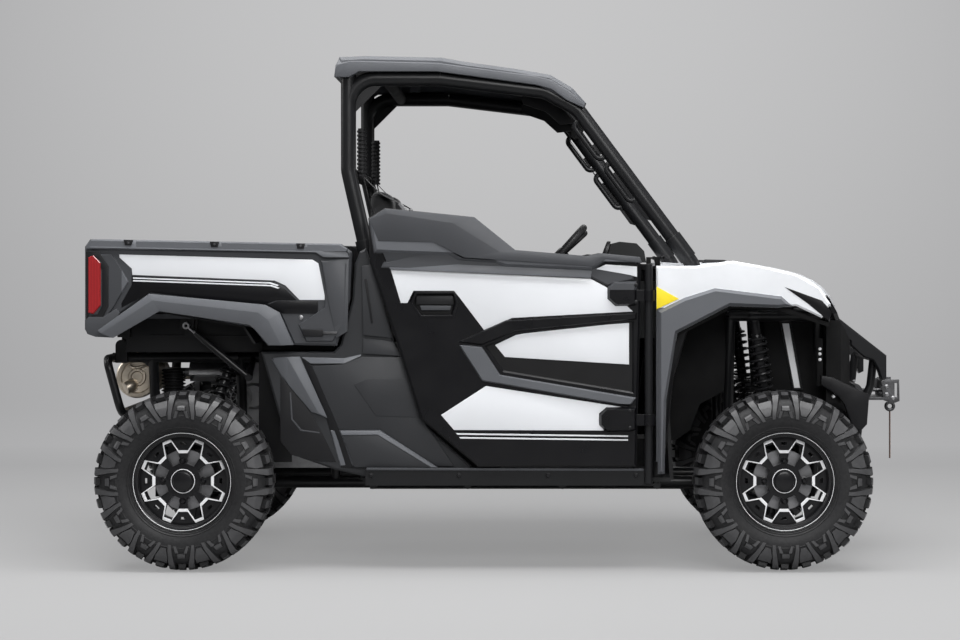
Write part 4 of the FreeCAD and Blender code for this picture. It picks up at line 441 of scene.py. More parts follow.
# Each light's place, its two sizes and its power.
studio_lights = {
    "top_light": ((0.0, -1.4, 5.0), (6.5, 3.0), 510.0),
    "front_light": ((1.5, -8.5, 4.6), (5.0, 3.0), 405.0),
    "rear_light": ((-7.0, 1.0, 3.6), (3.0, 2.4), 90.0),
    "nose_light": ((7.0, 1.0, 3.0), (3.0, 2.4), 60.0),
    "far_light": ((0.5, 7.5, 4.5), (5.0, 3.0), 80.0),
}
lights_aim = Vector((0.0, 0.0, 0.9))


def shown(name, data):
    """A new object in the scene."""
    made = bpy.data.objects.new(name, data)
    bpy.context.scene.collection.objects.link(made)
    return made


def sweep_form():
    """The floor, which bends up into the wall behind the vehicle."""
    line = [(-sweep_half, 0.0)]
    for step in range(bend_steps + 1):
        turn = math.radians(90) * step / bend_steps
        line.append((bend_start + bend_radius * math.sin(turn), bend_radius * (1 - math.cos(turn))))
    line.append((bend_start + bend_radius, sweep_half))
    corners = [(side * sweep_half, y, z) for y, z in line for side in (-1, 1)]
    faces = [(2 * i, 2 * i + 1, 2 * i + 3, 2 * i + 2) for i in range(len(line) - 1)]
    sweep = bpy.data.meshes.new("studio_sweep")
    sweep.from_pydata(corners, [], faces)
    sweep.polygons.foreach_set("use_smooth", [True] * len(faces))
    return sweep


def sweep_finish():
    """A pale floor that glows more and more towards the wall, where the glow is a painted pool of light:
    brightest in the middle, darker towards the corners.
    """
    finish = Finish("studio_sweep", floor_tone, 0.7)
    x, y, z = finish.axes()
    patches = finish.span(finish.noise(0.5), 0.3, 0.7)
    finish.feed("Base Color", finish.blend(patches, floor_tone, toned(floor_tone, 0.98)))
    # Painted light: the wall's glow fades from its middle towards the corners.
    painted_light_falloff = (x * x + (z - painted_light_middle_z) * (z - painted_light_middle_z) * 1.6) * 0.02
    glow = finish.blend(finish.span(painted_light_falloff, 0.0, 1.0), wall_painted_light_middle, wall_painted_light_corner)
    glow = finish.blend(finish.span(y, 0.0, 4.0), floor_glow, glow)
    finish.backdrop(glow, finish.span(y, wall_start, wall_full, floor_share, 1.0))
    return finish.material


def studio():
    """A seamless pale sweep and soft light from above and in front."""
    world = bpy.data.worlds.new("studio")
    bpy.context.scene.world = world
    world.use_nodes = True
    sky = world.node_tree.nodes["Background"].inputs
    sky["Color"].default_value = sky_tone
    sky["Strength"].default_value = sky_strength
    sweep = sweep_form()
    sweep.materials.append(sweep_finish())
    shown("studio_sweep", sweep)
    for name, (place, size, power) in studio_lights.items():
        lamp = bpy.data.lights.new(name, "AREA")
        lamp.shape = "RECTANGLE"
        lamp.size, lamp.size_y = size
        lamp.energy = power
        light = shown(name, lamp)
        light.location = place
        light.rotation_euler = (lights_aim - light.location).to_track_quat("-Z", "Y").to_euler()


bpy.context.scene.view_settings.view_transform = "Standard"
make_camera()
studio()
dress_nodes()


chassis_pair = ("chassis", "chassis")
door_pair = ("door_right", "door_left")
bed_pair = ("bed", "bed")
hood_pair = ("hood", "hood")

# How far a panel's back lies inside the surface that carries it
plate_sink = 0.6 * mm


def at(x, y, z):
    """A point, or a step, given in mm."""
    return Vector((x, y, z)) * mm


def shaded(mesh, angle=32):
    """Smooth shading that keeps the edges sharper than an angle."""
    mesh.polygons.foreach_set("use_smooth", [True] * len(mesh.polygons))
    mesh.set_sharp_from_angle(angle=math.radians(angle))
    return mesh


def to_mesh(name, form, angle=32):
    """The finished mesh of a form, its faces turned out."""
    bmesh.ops.recalc_face_normals(form, faces=form.faces)
    mesh = bpy.data.meshes.new(name)
    form.to_mesh(mesh)
    form.free()
    return shaded(mesh, angle)


def piece(name, mesh, finish, body="chassis", place=None):
    """An object in its finish that rides on a body."""
    if not mesh.materials:
        mesh.materials.append(finishes[finish])
    made = shown(name, mesh)
    if place is not None:
        made.matrix_world = place
    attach(made, body)
    return made


def mirrored(mesh):
    """The same form on the other side of the vehicle."""
    other = mesh.copy()
    other.transform(Matrix.Scale(-1, 4, (0, 1, 0)))
    other.flip_normals()
    return other


def pair(name, mesh, finish, bodies=chassis_pair):
    """A form on the right side and its mirror image on the left."""
    other = mirrored(mesh)
    return [piece(name + "_right", mesh, finish, bodies[0]),
            piece(name + "_left", other, finish, bodies[1])]


def traced(pixels, depth):
    """(x, z) of an outline that is given in the photograph's frame, at a depth."""
    return [(p.x, p.z) for p in (seen(pixel, depth) for pixel in pixels)]


def plate_mesh(name, outlines, back, face, edge):
    """A panel with holes between two depths, its outer rim rounded."""
    form = bmesh.new()
    rims = [[], []]
    for points in outlines:
        rings = [[form.verts.new((x, y, z)) for x, z in points] for y in (face, back)]
        count = len(points)
        for i in range(count):
            j = (i + 1) % count
            form.faces.new((rings[0][i], rings[0][j], rings[1][j], rings[1][i]))
            for rim, ring in zip(rims, rings):
                rim.append(form.edges.get((ring[i], ring[j])))
    for rim in rims:
        bmesh.ops.triangle_fill(form, use_beauty=True, edges=rim)
    bmesh.ops.recalc_face_normals(form, faces=form.faces)
    if edge:
        bmesh.ops.bevel(form, geom=rims[0], offset=edge, segments=2, profile=0.6,
                        affect="EDGES", clamp_overlap=True)
    return to_mesh(name, form)


def plates(rows, bodies=chassis_pair):
    """Thin panels, traced from the photograph, on the vehicle's two sides.

    A row holds a name, the distance from the middle, thickness and edge in mm, a finish, a slot,
    and an outline in pixels with its holes.
    """
    for name, surface, thickness, edge, finish, slot, *outlines in rows:
        face = surface * mm
        drawn = [traced(points, -face) for points in outlines]
        mesh = plate_mesh(name, drawn, plate_sink - face, -face - thickness * mm, edge * mm)
        pair(name, mesh, finish, bodies)


def faceted(name, points, faces, back, finish, bodies=chassis_pair,
            crease=1.6):
    """A moulding of flat faces with soft creases, closed at its back, on both sides.

    Its points are pixels of the photograph and a distance from the middle in mm.
    """
    form = bmesh.new()
    corners = [form.verts.new(seen((px, py), -depth * mm)) for px, py, depth in points]
    for face in faces:
        form.faces.new([corners[i] for i in face])
    rim = [edge for edge in form.edges if edge.is_boundary]
    walls = bmesh.ops.extrude_edge_only(form, edges=rim)["geom"]
    for item in walls:
        if isinstance(item, bmesh.types.BMVert):
            item.co.y = -back * mm
    bmesh.ops.triangle_fill(form, edges=[edge for edge in form.edges if edge.is_boundary])
    bmesh.ops.recalc_face_normals(form, faces=form.faces)
    sharp = [edge for edge in form.edges if edge.calc_face_angle(0) > math.radians(2)]
    bmesh.ops.bevel(form, geom=sharp, offset=crease * mm, segments=2, profile=0.5, affect="EDGES",
                    clamp_overlap=True)
    return pair(name, to_mesh(name, form, 40), finish, bodies)


def mouldings(rows, bodies=chassis_pair):
    """Faceted mouldings: a name, the back's distance from the middle, a finish, faces and points."""
    for name, back, finish, faces, points in rows:
        faceted(name, points, faces, back, finish, bodies)


def turned(name, profile, steps=48, angle=35, lean=0):
    """A profile of (radius, height) in mm turned about Z, then leant about X by some degrees."""
    profile = [(r * mm, h * mm) for r, h in profile]
    form = bmesh.new()
    rings = []
    for step in range(steps):
        turn = 2 * math.pi * step / steps
        rings.append([form.verts.new((r * math.cos(turn), r * math.sin(turn), z)) for r, z in profile])
    for step in range(steps):
        near, far = rings[step], rings[(step + 1) % steps]
        for i in range(len(profile) - 1):
            form.faces.new((near[i], far[i], far[i + 1], near[i + 1]))
    bmesh.ops.remove_doubles(form, verts=form.verts, dist=0.01 * mm)
    mesh = to_mesh(name, form, angle)
    if lean:
        mesh.transform(Matrix.Rotation(math.radians(lean), 4, "X"))
    return mesh


def ribbed(name, fold, count, pitch, low, high, steps):
    """A bellows or a wound drum: one fold of (radius, height), repeated along its axis, in mm."""
    folds = [(r, low + pitch * number + z) for number in range(count) for r, z in fold]
    return turned(name, [(0, low)] + folds + [(0, high)], steps, 60)


def pointed(start, direction, spin=0.0):
    """The placement that puts a form's origin at a point and its Z along a direction."""
    turn = Vector(direction).to_track_quat("Z", "Y").to_matrix().to_4x4()
    return Matrix.Translation(start) @ turn @ Matrix.Rotation(spin, 4, "Z")


def sweep_mesh(name, points, section, closed=False, up=(0, 0, 1), angle=40):
    """A section carried along a line of points, upright where it can be."""
    points = [Vector(p) for p in points]
    form = bmesh.new()
    rings = []
    count = len(points)
    side = None
    for i, here in enumerate(points):
        after = points[(i + 1) % count] if closed or i < count - 1 else here
        before = points[i - 1] if closed or i else here
        along = (after - before).normalized()
        if side is None:
            side = along.cross(Vector(up))
            side = side if side.length > 0.01 else along.cross(Vector((1, 0, 0)))
        side = (side - along * side.dot(along)).normalized()
        over = side.cross(along)
        rings.append([form.verts.new(here + side * a + over * b) for a, b in section])
    last = count if closed else count - 1
    size = len(section)
    for i in range(last):
        near, far = rings[i], rings[(i + 1) % count]
        for j in range(size):
            k = (j + 1) % size
            form.faces.new((near[j], near[k], far[k], far[j]))
    if not closed:
        form.faces.new(rings[0])
        form.faces.new(rings[-1])
    return to_mesh(name, form, angle)


def round_section(radius, sides=12):
    """A circle, its radius in mm."""
    radius *= mm
    return [(radius * math.cos(2 * math.pi * i / sides), radius * math.sin(2 * math.pi * i / sides))
            for i in range(sides)]


def flat_section(half_width, half_height):
    """A rectangle, in mm."""
    return [(a * half_width * mm, b * half_height * mm) for a, b in ((-1, -1), (1, -1), (1, 1), (-1, 1))]


def circle(radius, count, second=(0, 1, 0)):
    """Points round the origin in the plane of X and a second direction, the radius in mm."""
    turns = [2 * math.pi * i / count for i in range(count)]
    return [(Vector((1, 0, 0)) * math.cos(a) + Vector(second) * math.sin(a)) * radius * mm
            for a in turns]


def curved(points, steps=8):
    """Points along a smooth line through the given ones."""
    points = [Vector(p) for p in points]
    ends = [points[0] * 2 - points[1]] + points + [points[-1] * 2 - points[-2]]
    line = []
    for a, b, c, d in zip(ends, ends[1:], ends[2:], ends[3:]):
        for step in range(steps):
            t = step / steps
            line.append(0.5 * (2 * b + (c - a) * t + (2 * a - 5 * b + 4 * c - d) * t ** 2
                               + (3 * b - a - 3 * c + d) * t ** 3))
    return line + [points[-1]]


def merged(name, parts, angle=32):
    """One mesh from several, each alone or with its placement."""
    form = bmesh.new()
    for part in parts:
        mesh, place = part if isinstance(part, tuple) else (part, Matrix())
        copy = mesh.copy()
        copy.transform(place)
        form.from_mesh(copy)
        bpy.data.meshes.remove(copy)
    made = bpy.data.meshes.new(name)
    form.to_mesh(made)
    form.free()
    return shaded(made, angle)


def bolt_mesh(radius):
    """A flanged hexagon head, its foot at the origin."""
    flange = turned("flange", [(0, 0), (radius * 1.5, 0), (radius * 1.45, radius * 0.25),
                               (radius, radius * 0.4), (0, radius * 0.4)], 20)
    head = turned("head", [(radius, radius * 0.3), (radius, radius * 0.95),
                           (radius * 0.86, radius * 1.1), (0, radius * 1.1)], 6, 20)
    return merged("bolt", [flange, head], 25)


def bolts(name, places, direction, radius, finish, body):
    """Bolts as one piece, their heads along a direction and each turned a little further."""
    one = bolt_mesh(radius)
    mesh = merged(name, [(one, pointed(place, direction, i)) for i, place in enumerate(places)], 25)
    return piece(name, mesh, finish, body)


def side_bolts(name, pixels, depth, radius, finish, bodies=chassis_pair, out=None, rise=0):
    """Bolts at pixels of the photograph on both sides, or at another distance out and higher."""
    for side, body in zip((-1, 1), bodies):
        spots = [seen(pixel, -depth * mm) for pixel in pixels]
        places = [(spot.x, side * (out or depth) * mm, spot.z + rise * mm) for spot in spots]
        bolts(name.format(side=side + 1, body=body), places, (0, side, 0), radius, finish, body)


# The wheels
axle_z = 352 * mm
front_axle_x = 1092 * mm
rear_axle_x = -1257 * mm
wheel_y = 663 * mm
lug_pitches = 12
carcass_line = [(0, 331), (40, 331), (72, 328), (94, 319), (108, 303), (117, 283), (121.5, 262),
                (121, 240), (116, 222), (108, 207), (100, 196), (95, 187), (93, 181)]
carcass_radius = 332


def carcass_point(t, u, height):
    """A point over the carcass: t mm from the crown's middle, u mm round it, height mm out."""
    side = math.copysign(1, t)
    left = abs(t)
    for (y, r), (far_y, far_r) in zip(carcass_line, carcass_line[1:]):
        run = math.hypot(far_y - y, far_r - r)
        if left <= run or (far_y, far_r) == carcass_line[-1]:
            break
        left -= run
    share = min(left / run, 1)
    out_y, out_r = (r - far_r) / run, (far_y - y) / run
    across = y + (far_y - y) * share + out_y * height
    radius = r + (far_r - r) * share + out_r * height
    turn = u / carcass_radius
    return Vector((radius * math.sin(turn), side * across, radius * math.cos(turn))) * mm


# Each lug is a ribbon of stations: distance from the crown's middle, its two sides, its height.
leg = [(60, 25, 49, 20), (88, 25, 49, 19), (104, 29, 52, 14), (122, 35, 56, 10), (150, 45, 64, 7),
       (174, 53, 69, 3)]
lug_ribbons = [
    leg,
    [(t, -high, -low, height) for t, low, high, height in leg],
    [(2, 12, 46, 20), (30, 16, 48, 20), (57, 24, 50, 20)],
    [(22, -50, -16, 20), (50, -52, -22, 20)],
    [(18, 66, 100, 20), (46, 70, 104, 20)],
    [(62, 74, 102, 20), (90, 72, 104, 19)],
    [(60, -12, 14, 20), (90, -13, 13, 18)],
    [(98, 60, 114, 6), (124, 60, 114, 9), (134, 63, 111, 9), (158, 74, 100, 4)],
    [(126, -15, 15, 6), (134, -16, 16, 9), (144, -19, 19, 8)],
    [(147, -28, -12, 7), (172, -40, -27, 3)],
    [(147, 12, 28, 7), (172, 27, 40, 3)],
]


def lug(form, stations, shift, side):
    """One ribbon lug: a drafted block that follows the carcass."""
    draft = 3.5
    rows = []
    for t, low, high, height in stations:
        foot = [(low - draft, -3), (low, height), (high, height), (high + draft, -3)]
        rows.append([form.verts.new(carcass_point(side * t, u + shift, h)) for u, h in foot])
    for near, far in zip(rows, rows[1:]):
        for i in range(3):
            face = form.faces.new((near[i], near[i + 1], far[i + 1], far[i]))
            # The lug's top takes the paler tyre_lug finish and its sides the dark rubber: wear, and
            # painted shade in the grooves.
            face.material_index = i % 2
    form.faces.new(rows[0])
    form.faces.new(rows[-1])


# Radius and distance from the middle of the ribs round each wall, in mm
wall_ribs = ((257, 121.2), (212, 111.4), (203, 106.5), (197, 102.5))


def tyre_mesh():
    """Carcass with ribs round its walls, and pitches of angled lugs on each side."""
    ring = [(r, y) for y, r in carcass_line]
    loop = [(r, -y) for r, y in reversed(ring)] + ring[1:]
    inner = [(174, 92), (174, -92)]
    parts = [turned("carcass", loop + inner + loop[:1], 90, 40, -90)]
    for radius, across in wall_ribs:
        rib = turned("rib", [(radius - 3, 0), (radius, 2.4), (radius + 3, 0)], 90, 40)
        for side in (-1, 1):
            parts.append((rib, pointed(at(0, side * (across - 0.6), 0), (0, side, 0))))
    form = bmesh.new()
    pitch = 2 * math.pi * carcass_radius / lug_pitches
    for side in (-1, 1):
        for place in range(lug_pitches):
            for stations in lug_ribbons:
                lug(form, stations, (place + (side + 1) / 4) * pitch, side)
    lugs = to_mesh("lugs", form, 30)
    return merged("tyre_form", parts + [lugs], 30)


rim_windows = 8
half_window = math.pi / rim_windows
face_radius = 174
face_depths = (-46 * mm, -62 * mm)
star_depths = (-61 * mm, -68 * mm)
nut_count = 4
nut_circle = 79
rim_profiles = {
    "barrel": (72, [
        (166, 60), (174, 62), (177, 78), (179, 96), (186, 101), (192, 103), (193.5, 100), (192, 96),
        (181, 94.3), (179, 90), (179, -90), (181, -94.3), (192, -96), (193.5, -100), (190, -103),
        (180, -98), (172, -80), (170, 40), (166, 44), (166, 60)]),
    "hub": (48, [
        (0, 84), (30, 84), (36, 82), (39, 78), (39.5, 74), (44, 74), (46, 70), (47, 60), (60, 58),
        (66, 50), (0, 50)]),
    "lip": (96, [(189.2, 102), (189.6, 103.6), (191, 103.7), (191.4, 102)]),
    "cap_ring": (60, [(44.5, 73.5), (45, 75.4), (47.2, 74.6), (47.4, 70)]),
    "brake": (60, [(52, 18), (118, 18), (120, 16), (120, 10), (118, 8), (52, 8), (52, 18)]),
}


def rounded(points_of, count=rim_windows):
    """An outline from the (radius, turn) points of each of its places round the axle."""
    return [(r * math.sin(a) * mm, r * math.cos(a) * mm) for place in range(count)
            for r, a in points_of(place)]


def star_points(place, grow=0.0):
    """The zigzag that runs round one window: notch, two outer corners, notch."""
    middle = (2 * place + 1) * half_window
    return [(122 + grow, middle - 0.61 * half_window), (171 + grow, middle - 0.26 * half_window),
            (171 + grow, middle + 0.26 * half_window), (122 + grow, middle + 0.61 * half_window)]


def window_points(place):
    """The opening between two spokes."""
    middle = (2 * place + 1) * half_window
    right = [(70, 0.238), (112, 0.2125), (152, 0.12)]
    return ([(r, middle - a) for r, a in right] + [(r, middle + a) for r, a in reversed(right)])


def slot_points(place):
    """The short slot at the outer end of a spoke."""
    middle = 2 * place * half_window
    return [(142, middle - 0.07), (152, middle - 0.07), (152, middle + 0.07), (142, middle + 0.07)]


def rim_parts():
    """The meshes of one wheel seen from -Y, by finish: black casting, cut faces, brake."""
    made = {name: turned(name, profile, steps, lean=90) for name, (steps, profile) in
            rim_profiles.items()}
    disc = rounded(lambda place: [(face_radius, 2 * math.pi * place / 72)], 72)
    openings = [rounded(lambda _: points_of(place), 1) for place in range(rim_windows)
                for points_of in (window_points, slot_points)]
    face = plate_mesh("face", [disc] + openings, *face_depths, 2.5 * mm)
    black = [made["barrel"], face, made["hub"]]
    inner = rounded(lambda place: star_points(place, -12.0))
    star = plate_mesh("star", [rounded(star_points), inner], *star_depths, 1.2 * mm)
    cut = [star, made["lip"], made["cap_ring"]]
    nut = turned("nut", [(12, 0), (12, 3), (9, 6), (9, 16), (7, 19), (0, 19)], 6, 20)
    seat = turned("nut_seat", [(17, -1), (17, 1), (13, 2), (12, -1)], 24)
    for place in range(nut_count):
        turn = 2 * math.pi * place / nut_count
        foot = at(nut_circle * math.sin(turn), -60, nut_circle * math.cos(turn))
        black.append((nut, pointed(foot, (0, -1, 0), turn)))
        black.append((seat, pointed(foot, (0, -1, 0))))
    return {"rim_black": merged("rim_casting", black), "rim_cut": merged("rim_cut_faces", cut),
            "brake_grey": merged("brake_disc", [made["brake"]])}


def wheels():
    """Tyres and rims in place of the plain ones, turned round on the left side."""
    tyre = tyre_mesh()
    tyre.materials.append(finishes["tyre_rubber"])
    tyre.materials.append(finishes["tyre_lug"])
    rim = rim_parts()
    for end, x in (("front", front_axle_x), ("rear", rear_axle_x)):
        for side, sign in (("right", -1), ("left", 1)):
            place = Matrix.Translation((x, sign * wheel_y, axle_z))
            if sign > 0:
                place = place @ Matrix.Rotation(math.pi, 4, "Z")
            where = "_%s_%s" % (end, side)
            body = "wheel" + where
            rubber = piece("tyre_tread" + where, tyre, "tyre_rubber", body, place)
            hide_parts("tyre" + where)
            for finish, mesh in rim.items():
                made = piece(mesh.name + where, mesh, finish, body, place)
            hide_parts("rim" + where)


# The shock absorbers: foot, head and the coil's turns, on the right side
shock_lines = {
    "front": (at(1072, -446, 501), at(1003, -438, 990), 10.5),
    "rear": (at(-1225, -470, 498), at(-1100, -376, 818), 7),
}
coil_shares = (0.16, 0.8)


def helix(radius, low, high, turns):
    """A coil's line about Z, in mm."""
    steps = 18
    count = int(turns * steps)
    return [at(radius * math.cos(2 * math.pi * i / steps), radius * math.sin(2 * math.pi * i / steps),
               low + (high - low) * i / count) for i in range(count + 1)]


def shocks():
    """Dampers with their spring seats, and coil springs."""
    for end, (foot, head, turns) in shock_lines.items():
        length = (head - foot).length / mm
        low, high = (length * share for share in coil_shares)
        spring = sweep_mesh("spring", helix(37, low + 6, high - 6, turns), round_section(6.2, 8))
        body = turned("damper", [
            (0, 0), (9, 0), (9, length * 0.12), (16, length * 0.125), (40, low - 4), (40, low + 2),
            (30, low + 5), (8, low + 6), (8, length * 0.42), (20, length * 0.42),
            (21, length * 0.43), (21, high - 2), (30, high), (38, high + 2), (38, high + 9),
            (33, high + 12), (26, high + 12), (24, high + 24), (21, high + 26), (20, length - 22),
            (14, length - 14), (0, length - 14)], 36)
        eye = turned("eye", [(9, -19), (22, -19), (22, 19), (9, 19), (9, -19)], 28)
        place = pointed(foot, head - foot)
        eyes = [(eye, pointed(end_point, (1, 0, 0))) for end_point in (foot, head)]
        steel = merged("damper_" + end, [(body, place)] + eyes)
        coil = merged("coil_" + end, [(spring, place)])
        made = pair("damper_" + end, steel, "shock_black")
        pair("coil_spring_" + end, coil, "shock_black")
        if end == "front":
            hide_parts("shocks")


# The doors
door_hinge_pixels = ((636, 285), (636, 302), (630, 411), (630, 428))
# The upper stripe at the foot of a door, and each point's step to the lower one
door_stripe = [(456, 433.2), (628, 435.4), (628, 437), (457.5, 434.8)]
door_stripe_step = [(3, 3.8), (0, 3.8), (0, 3.8), (3, 3.8)]
door_plates = [
    ("door_upper_panel", 750, 1.6, 0.8, "body_white", "body_white", [
        (390.5, 269), (590, 278.5), (606, 287), (633, 311.5), (512, 318), (484, 330), (459, 297),
        (454, 290.8), (413.5, 290.8), (407.5, 303), (400.8, 303)]),
    ("door_shoulder_panel", 757, 1.6, 0.8, "body_white", "body_white", [
        (596, 269), (606, 264.5), (637, 266.5), (637, 277), (630, 275)]),
    ("door_middle_panel", 743, 1.6, 0.8, "body_white", "body_white", [
        (495, 345), (516, 335), (553, 328), (629, 323), (629, 364.5), (505, 357)]),
    ("door_lower_panel", 750, 1.6, 0.8, "body_white", "body_white", [
        (486, 386), (622, 407), (606, 407.5), (599, 413.5), (599, 423.5), (604, 430.5), (454, 430),
        (441, 415)]),
    ("latch_frame", 750, 2.5, 0.8, "body_black", "trim_black", [
        (410.2, 303.5), (415.6, 291.4), (454.6, 291.4), (458.2, 303.5), (453.8, 317.4),
        (420.6, 317.4)], [
        (412.6, 303.5), (417, 293.6), (453.4, 293.6), (456, 303.5), (452.4, 315.4), (421.8, 315.4)]),
    ("latch_lever", 745, 2.0, 0.8, "trim_black", "trim_black", [
        (417, 296), (452.6, 296), (453.6, 304.6), (416, 304.6)]),
    ("latch_grip", 743, 3.0, 0.8, "body_dark_grey", "body_dark_grey", [
        (420, 305.6), (451.2, 305.6), (450, 310.2), (421.6, 310.2)]),
]
door_mouldings = [
    ("door_bolster", 771, "body_dark_grey", [
        (0, 1, 7), (0, 7, 10), (1, 2, 8, 7), (7, 8, 11, 10), (2, 3, 9, 8), (8, 9, 12, 11),
        (3, 4, 13, 12, 9), (4, 5, 14, 13), (5, 6, 15, 14)], [
        (369, 219, 772), (385, 208.5, 772), (474, 217, 772), (515, 250, 772), (587, 256, 772),
        (600, 253, 772), (640, 257, 772), (387, 213.5, 775), (453, 223, 780), (500, 252, 779),
        (378.5, 241, 773), (433, 242, 775), (464, 257.5, 779), (594, 266.5, 775), (606, 259, 773),
        (642, 263, 773)]),
    ("door_shoulder", 750, "body_dark_grey", [(0, 1, 5, 4), (1, 2, 5), (2, 3, 6, 5)], [
        (378.5, 242, 768), (433, 243, 770), (463, 258.3, 772), (594, 267.4, 768),
        (388.6, 266.6, 752), (457, 261, 752), (592, 269.8, 754)]),
    ("door_shoulder_edge", 750, "flare_grey", [(0, 1, 5, 4), (1, 2, 3, 5)], [
        (388.4, 266.2, 754), (457, 261, 754), (592, 269.6, 756), (591, 278.2, 764),
        (390.4, 269.6, 760), (457, 272.2, 764)]),
]


def stripes(name, outline, step, surface, thickness, bodies):
    """Two thin white stripes, the second a step below the first."""
    for row in range(2):
        drawn = [(x + row * a, y + row * b) for (x, y), (a, b) in zip(outline, step)]
        plates([("%s_%d" % (name, row), surface, thickness, 0.3, "body_white", "body_white",
                 drawn)], bodies)


def doors():
    """White panels, stripes, shoulders, latches and bolts on the black door skins."""
    plates(door_plates, door_pair)
    stripes("door_stripe", door_stripe, door_stripe_step, 750, 0.9, door_pair)
    mouldings(door_mouldings, door_pair)
    side_bolts("door_hinge_bolts_{body}", door_hinge_pixels, 770, 5, "frame_steel", door_pair)


# The cargo bed
bed_face = 705
bed_inner = 440
bed_bolt_pixels = [(301, 317.4)]
tie_ring_pixels = [(129, 250), (215, 251.5), (301, 253)]
tie_down_pixels = [(129, 239.8), (215, 241.6), (301, 243.4)]
tie_down_outline = [(-4.4, 0), (4.4, 0.1), (3.2, 5.4), (-3.2, 5.3)]
bed_stripe = [(133, 277.4), (270.5, 282.4), (279, 285.2), (277, 286.2), (269.5, 283.7),
              (133, 278.8)]
bed_stripe_step = [(0, 2.6), (1, 2.6), (1, 2.6), (1, 2.6), (1, 2.6), (0, 2.6)]
bed_plates = [
    ("bed_white_panel", bed_face, 2.0, 0.8, "body_white", "body_white", [
        (119.3, 254.4), (312.5, 259.7), (318.5, 263.5), (325.6, 300), (299.6, 300), (285.5, 285.5),
        (274.6, 280.6), (132.4, 274.9), (131.8, 268.6), (119.5, 257.5)]),
    ("bed_black_panel", bed_face, 1.4, 0.8, "body_black", "body_dark_grey", [
        (131.6, 276), (272.6, 281.8), (284, 287.6), (297, 300.2), (276.5, 300.2), (263.3, 305),
        (151, 292.6), (121.5, 307.6), (121.5, 303), (131.6, 285)]),
    ("bed_front_panel", bed_face, 3.0, 0.8, "body_black", "body_dark_grey", [
        (266.5, 305.2), (277.4, 300.8), (318, 300.9), (318, 313.5), (283.5, 313.5)]),
    ("bed_side_latch", 714, 8.0, 2.0, "trim_black", None, [
        (302.3, 329.2), (323, 329.6), (323, 336.3), (303.2, 336.3)]),
    ("bed_latch_rod", 714, 4.0, 1.0, "winch_grey", "trim_black", [
        (323, 331.6), (337, 331.6), (337, 334.2), (323, 334.2)]),
    ("bed_floor_side", bed_inner, 6.0, 0.8, "trim_black", "trim_black", [
        (128, 319), (160, 308), (252, 324), (263, 341), (262, 352), (126, 352)]),
    ("bed_rub_strip", 446, 4.0, 0.8, "trim_black", "trim_black", [
        (150, 334.4), (254, 335.2), (254, 336.8), (150, 336)]),
    ("bed_corner", bed_face, 14.0, 4.0, "body_dark_grey", "body_dark_grey", [
        (85.4, 320), (89, 316.6), (104, 316.6), (117, 308.6), (120, 313), (113, 337.6),
        (96, 336.8), (88, 334), (85.4, 329)]),
    ("taillamp_bezel", 713, 5.0, 1.5, "trim_black", "trim_black", [
        (86, 251.6), (99, 251.6), (108.5, 266), (108.5, 306.5), (103, 317.5), (86.6, 319)], [
        (88.2, 261.8), (97.5, 262.4), (102.3, 269.5), (102.3, 305.5), (97.6, 314), (89.4, 315.4)]),
]
bed_mouldings = [
    ("bed_rail_cap", 700, "flare_grey", [(0, 1, 5, 6), (1, 2, 3, 4, 5)], [
        (94, 239, 706), (320, 243.4, 706), (342, 243.9, 706), (349, 257.4, 716), (323, 257.2, 722),
        (316, 252.4, 722), (88.8, 247.8, 722)]),
    ("bed_front_post", 700, "body_dark_grey", [(0, 1, 5), (1, 2, 3, 4, 5)], [
        (319, 259, 706), (349, 258.6, 712), (347.6, 331.5, 712), (336, 338.2, 712),
        (327.8, 299, 719), (322, 262.5, 719)]),
]
wheel_box_top = [(128, 316), (160, 308), (252, 324), (263, 341), (260.6, 341.6), (250.6, 325.6),
                 (160, 309.6), (128, 317.6)]
flare_outer = [(97.5, 330.5), (149, 293.8), (265, 304.8), (279.6, 312.6), (293.5, 345)]
flare_ridge = [(101, 333.6), (152, 300.5), (258, 312.5), (268, 320), (281, 345.4)]
flare_inner = [(113, 338), (159.4, 311.2), (249, 324.8), (255, 329.6), (268.6, 345.4)]


def banded(lines):
    """The points and faces of bands between lines of pixels, each at its distance from the middle."""
    points = [(x, y, depth) for line, depth in lines for x, y in line]
    count = len(lines[0][0])
    faces = [(i, i + 1, i + 1 + count, i + count) for row in range(len(lines) - 1)
             for i in range(row * count, row * count + count - 1)]
    return points, faces


def tie_downs():
    """Three lashing feet on each side's rail."""
    for number, (x, y) in enumerate(tie_down_pixels):
        foot = [(x + a, y + b) for a, b in tie_down_outline]
        plates([("tie_down_%d" % number, 700, 23.0, 2.0, "trim_black", "trim_black", foot)], bed_pair)


def bed_sides():
    """White and black panels with thin stripes, lamps in their frames, latches and hooks."""
    plates(bed_plates, bed_pair)
    stripes("bed_stripe", bed_stripe, bed_stripe_step, bed_face + 1.4, 0.8, bed_pair)
    tie_downs()
    mouldings(bed_mouldings, bed_pair)
    points, faces = banded([(flare_outer, 756), (flare_ridge, 763), (flare_inner, 756)])
    faceted("bed_flare", points, faces, 754, "flare_grey", bed_pair)
    inner = -bed_inner * mm
    box_top = plate_mesh("bed_wheel_box", [traced(wheel_box_top, inner)], inner, -702 * mm, 0)
    pair("bed_wheel_box", box_top, "trim_black", bed_pair)
    side_bolts("bed_bolts_{side}", bed_bolt_pixels, bed_face, 6, "bare_steel", bed_pair)
    side_bolts("bed_tie_rings_{side}", tie_ring_pixels, bed_face, 5, "cast_metal", bed_pair,
               out=719, rise=28)


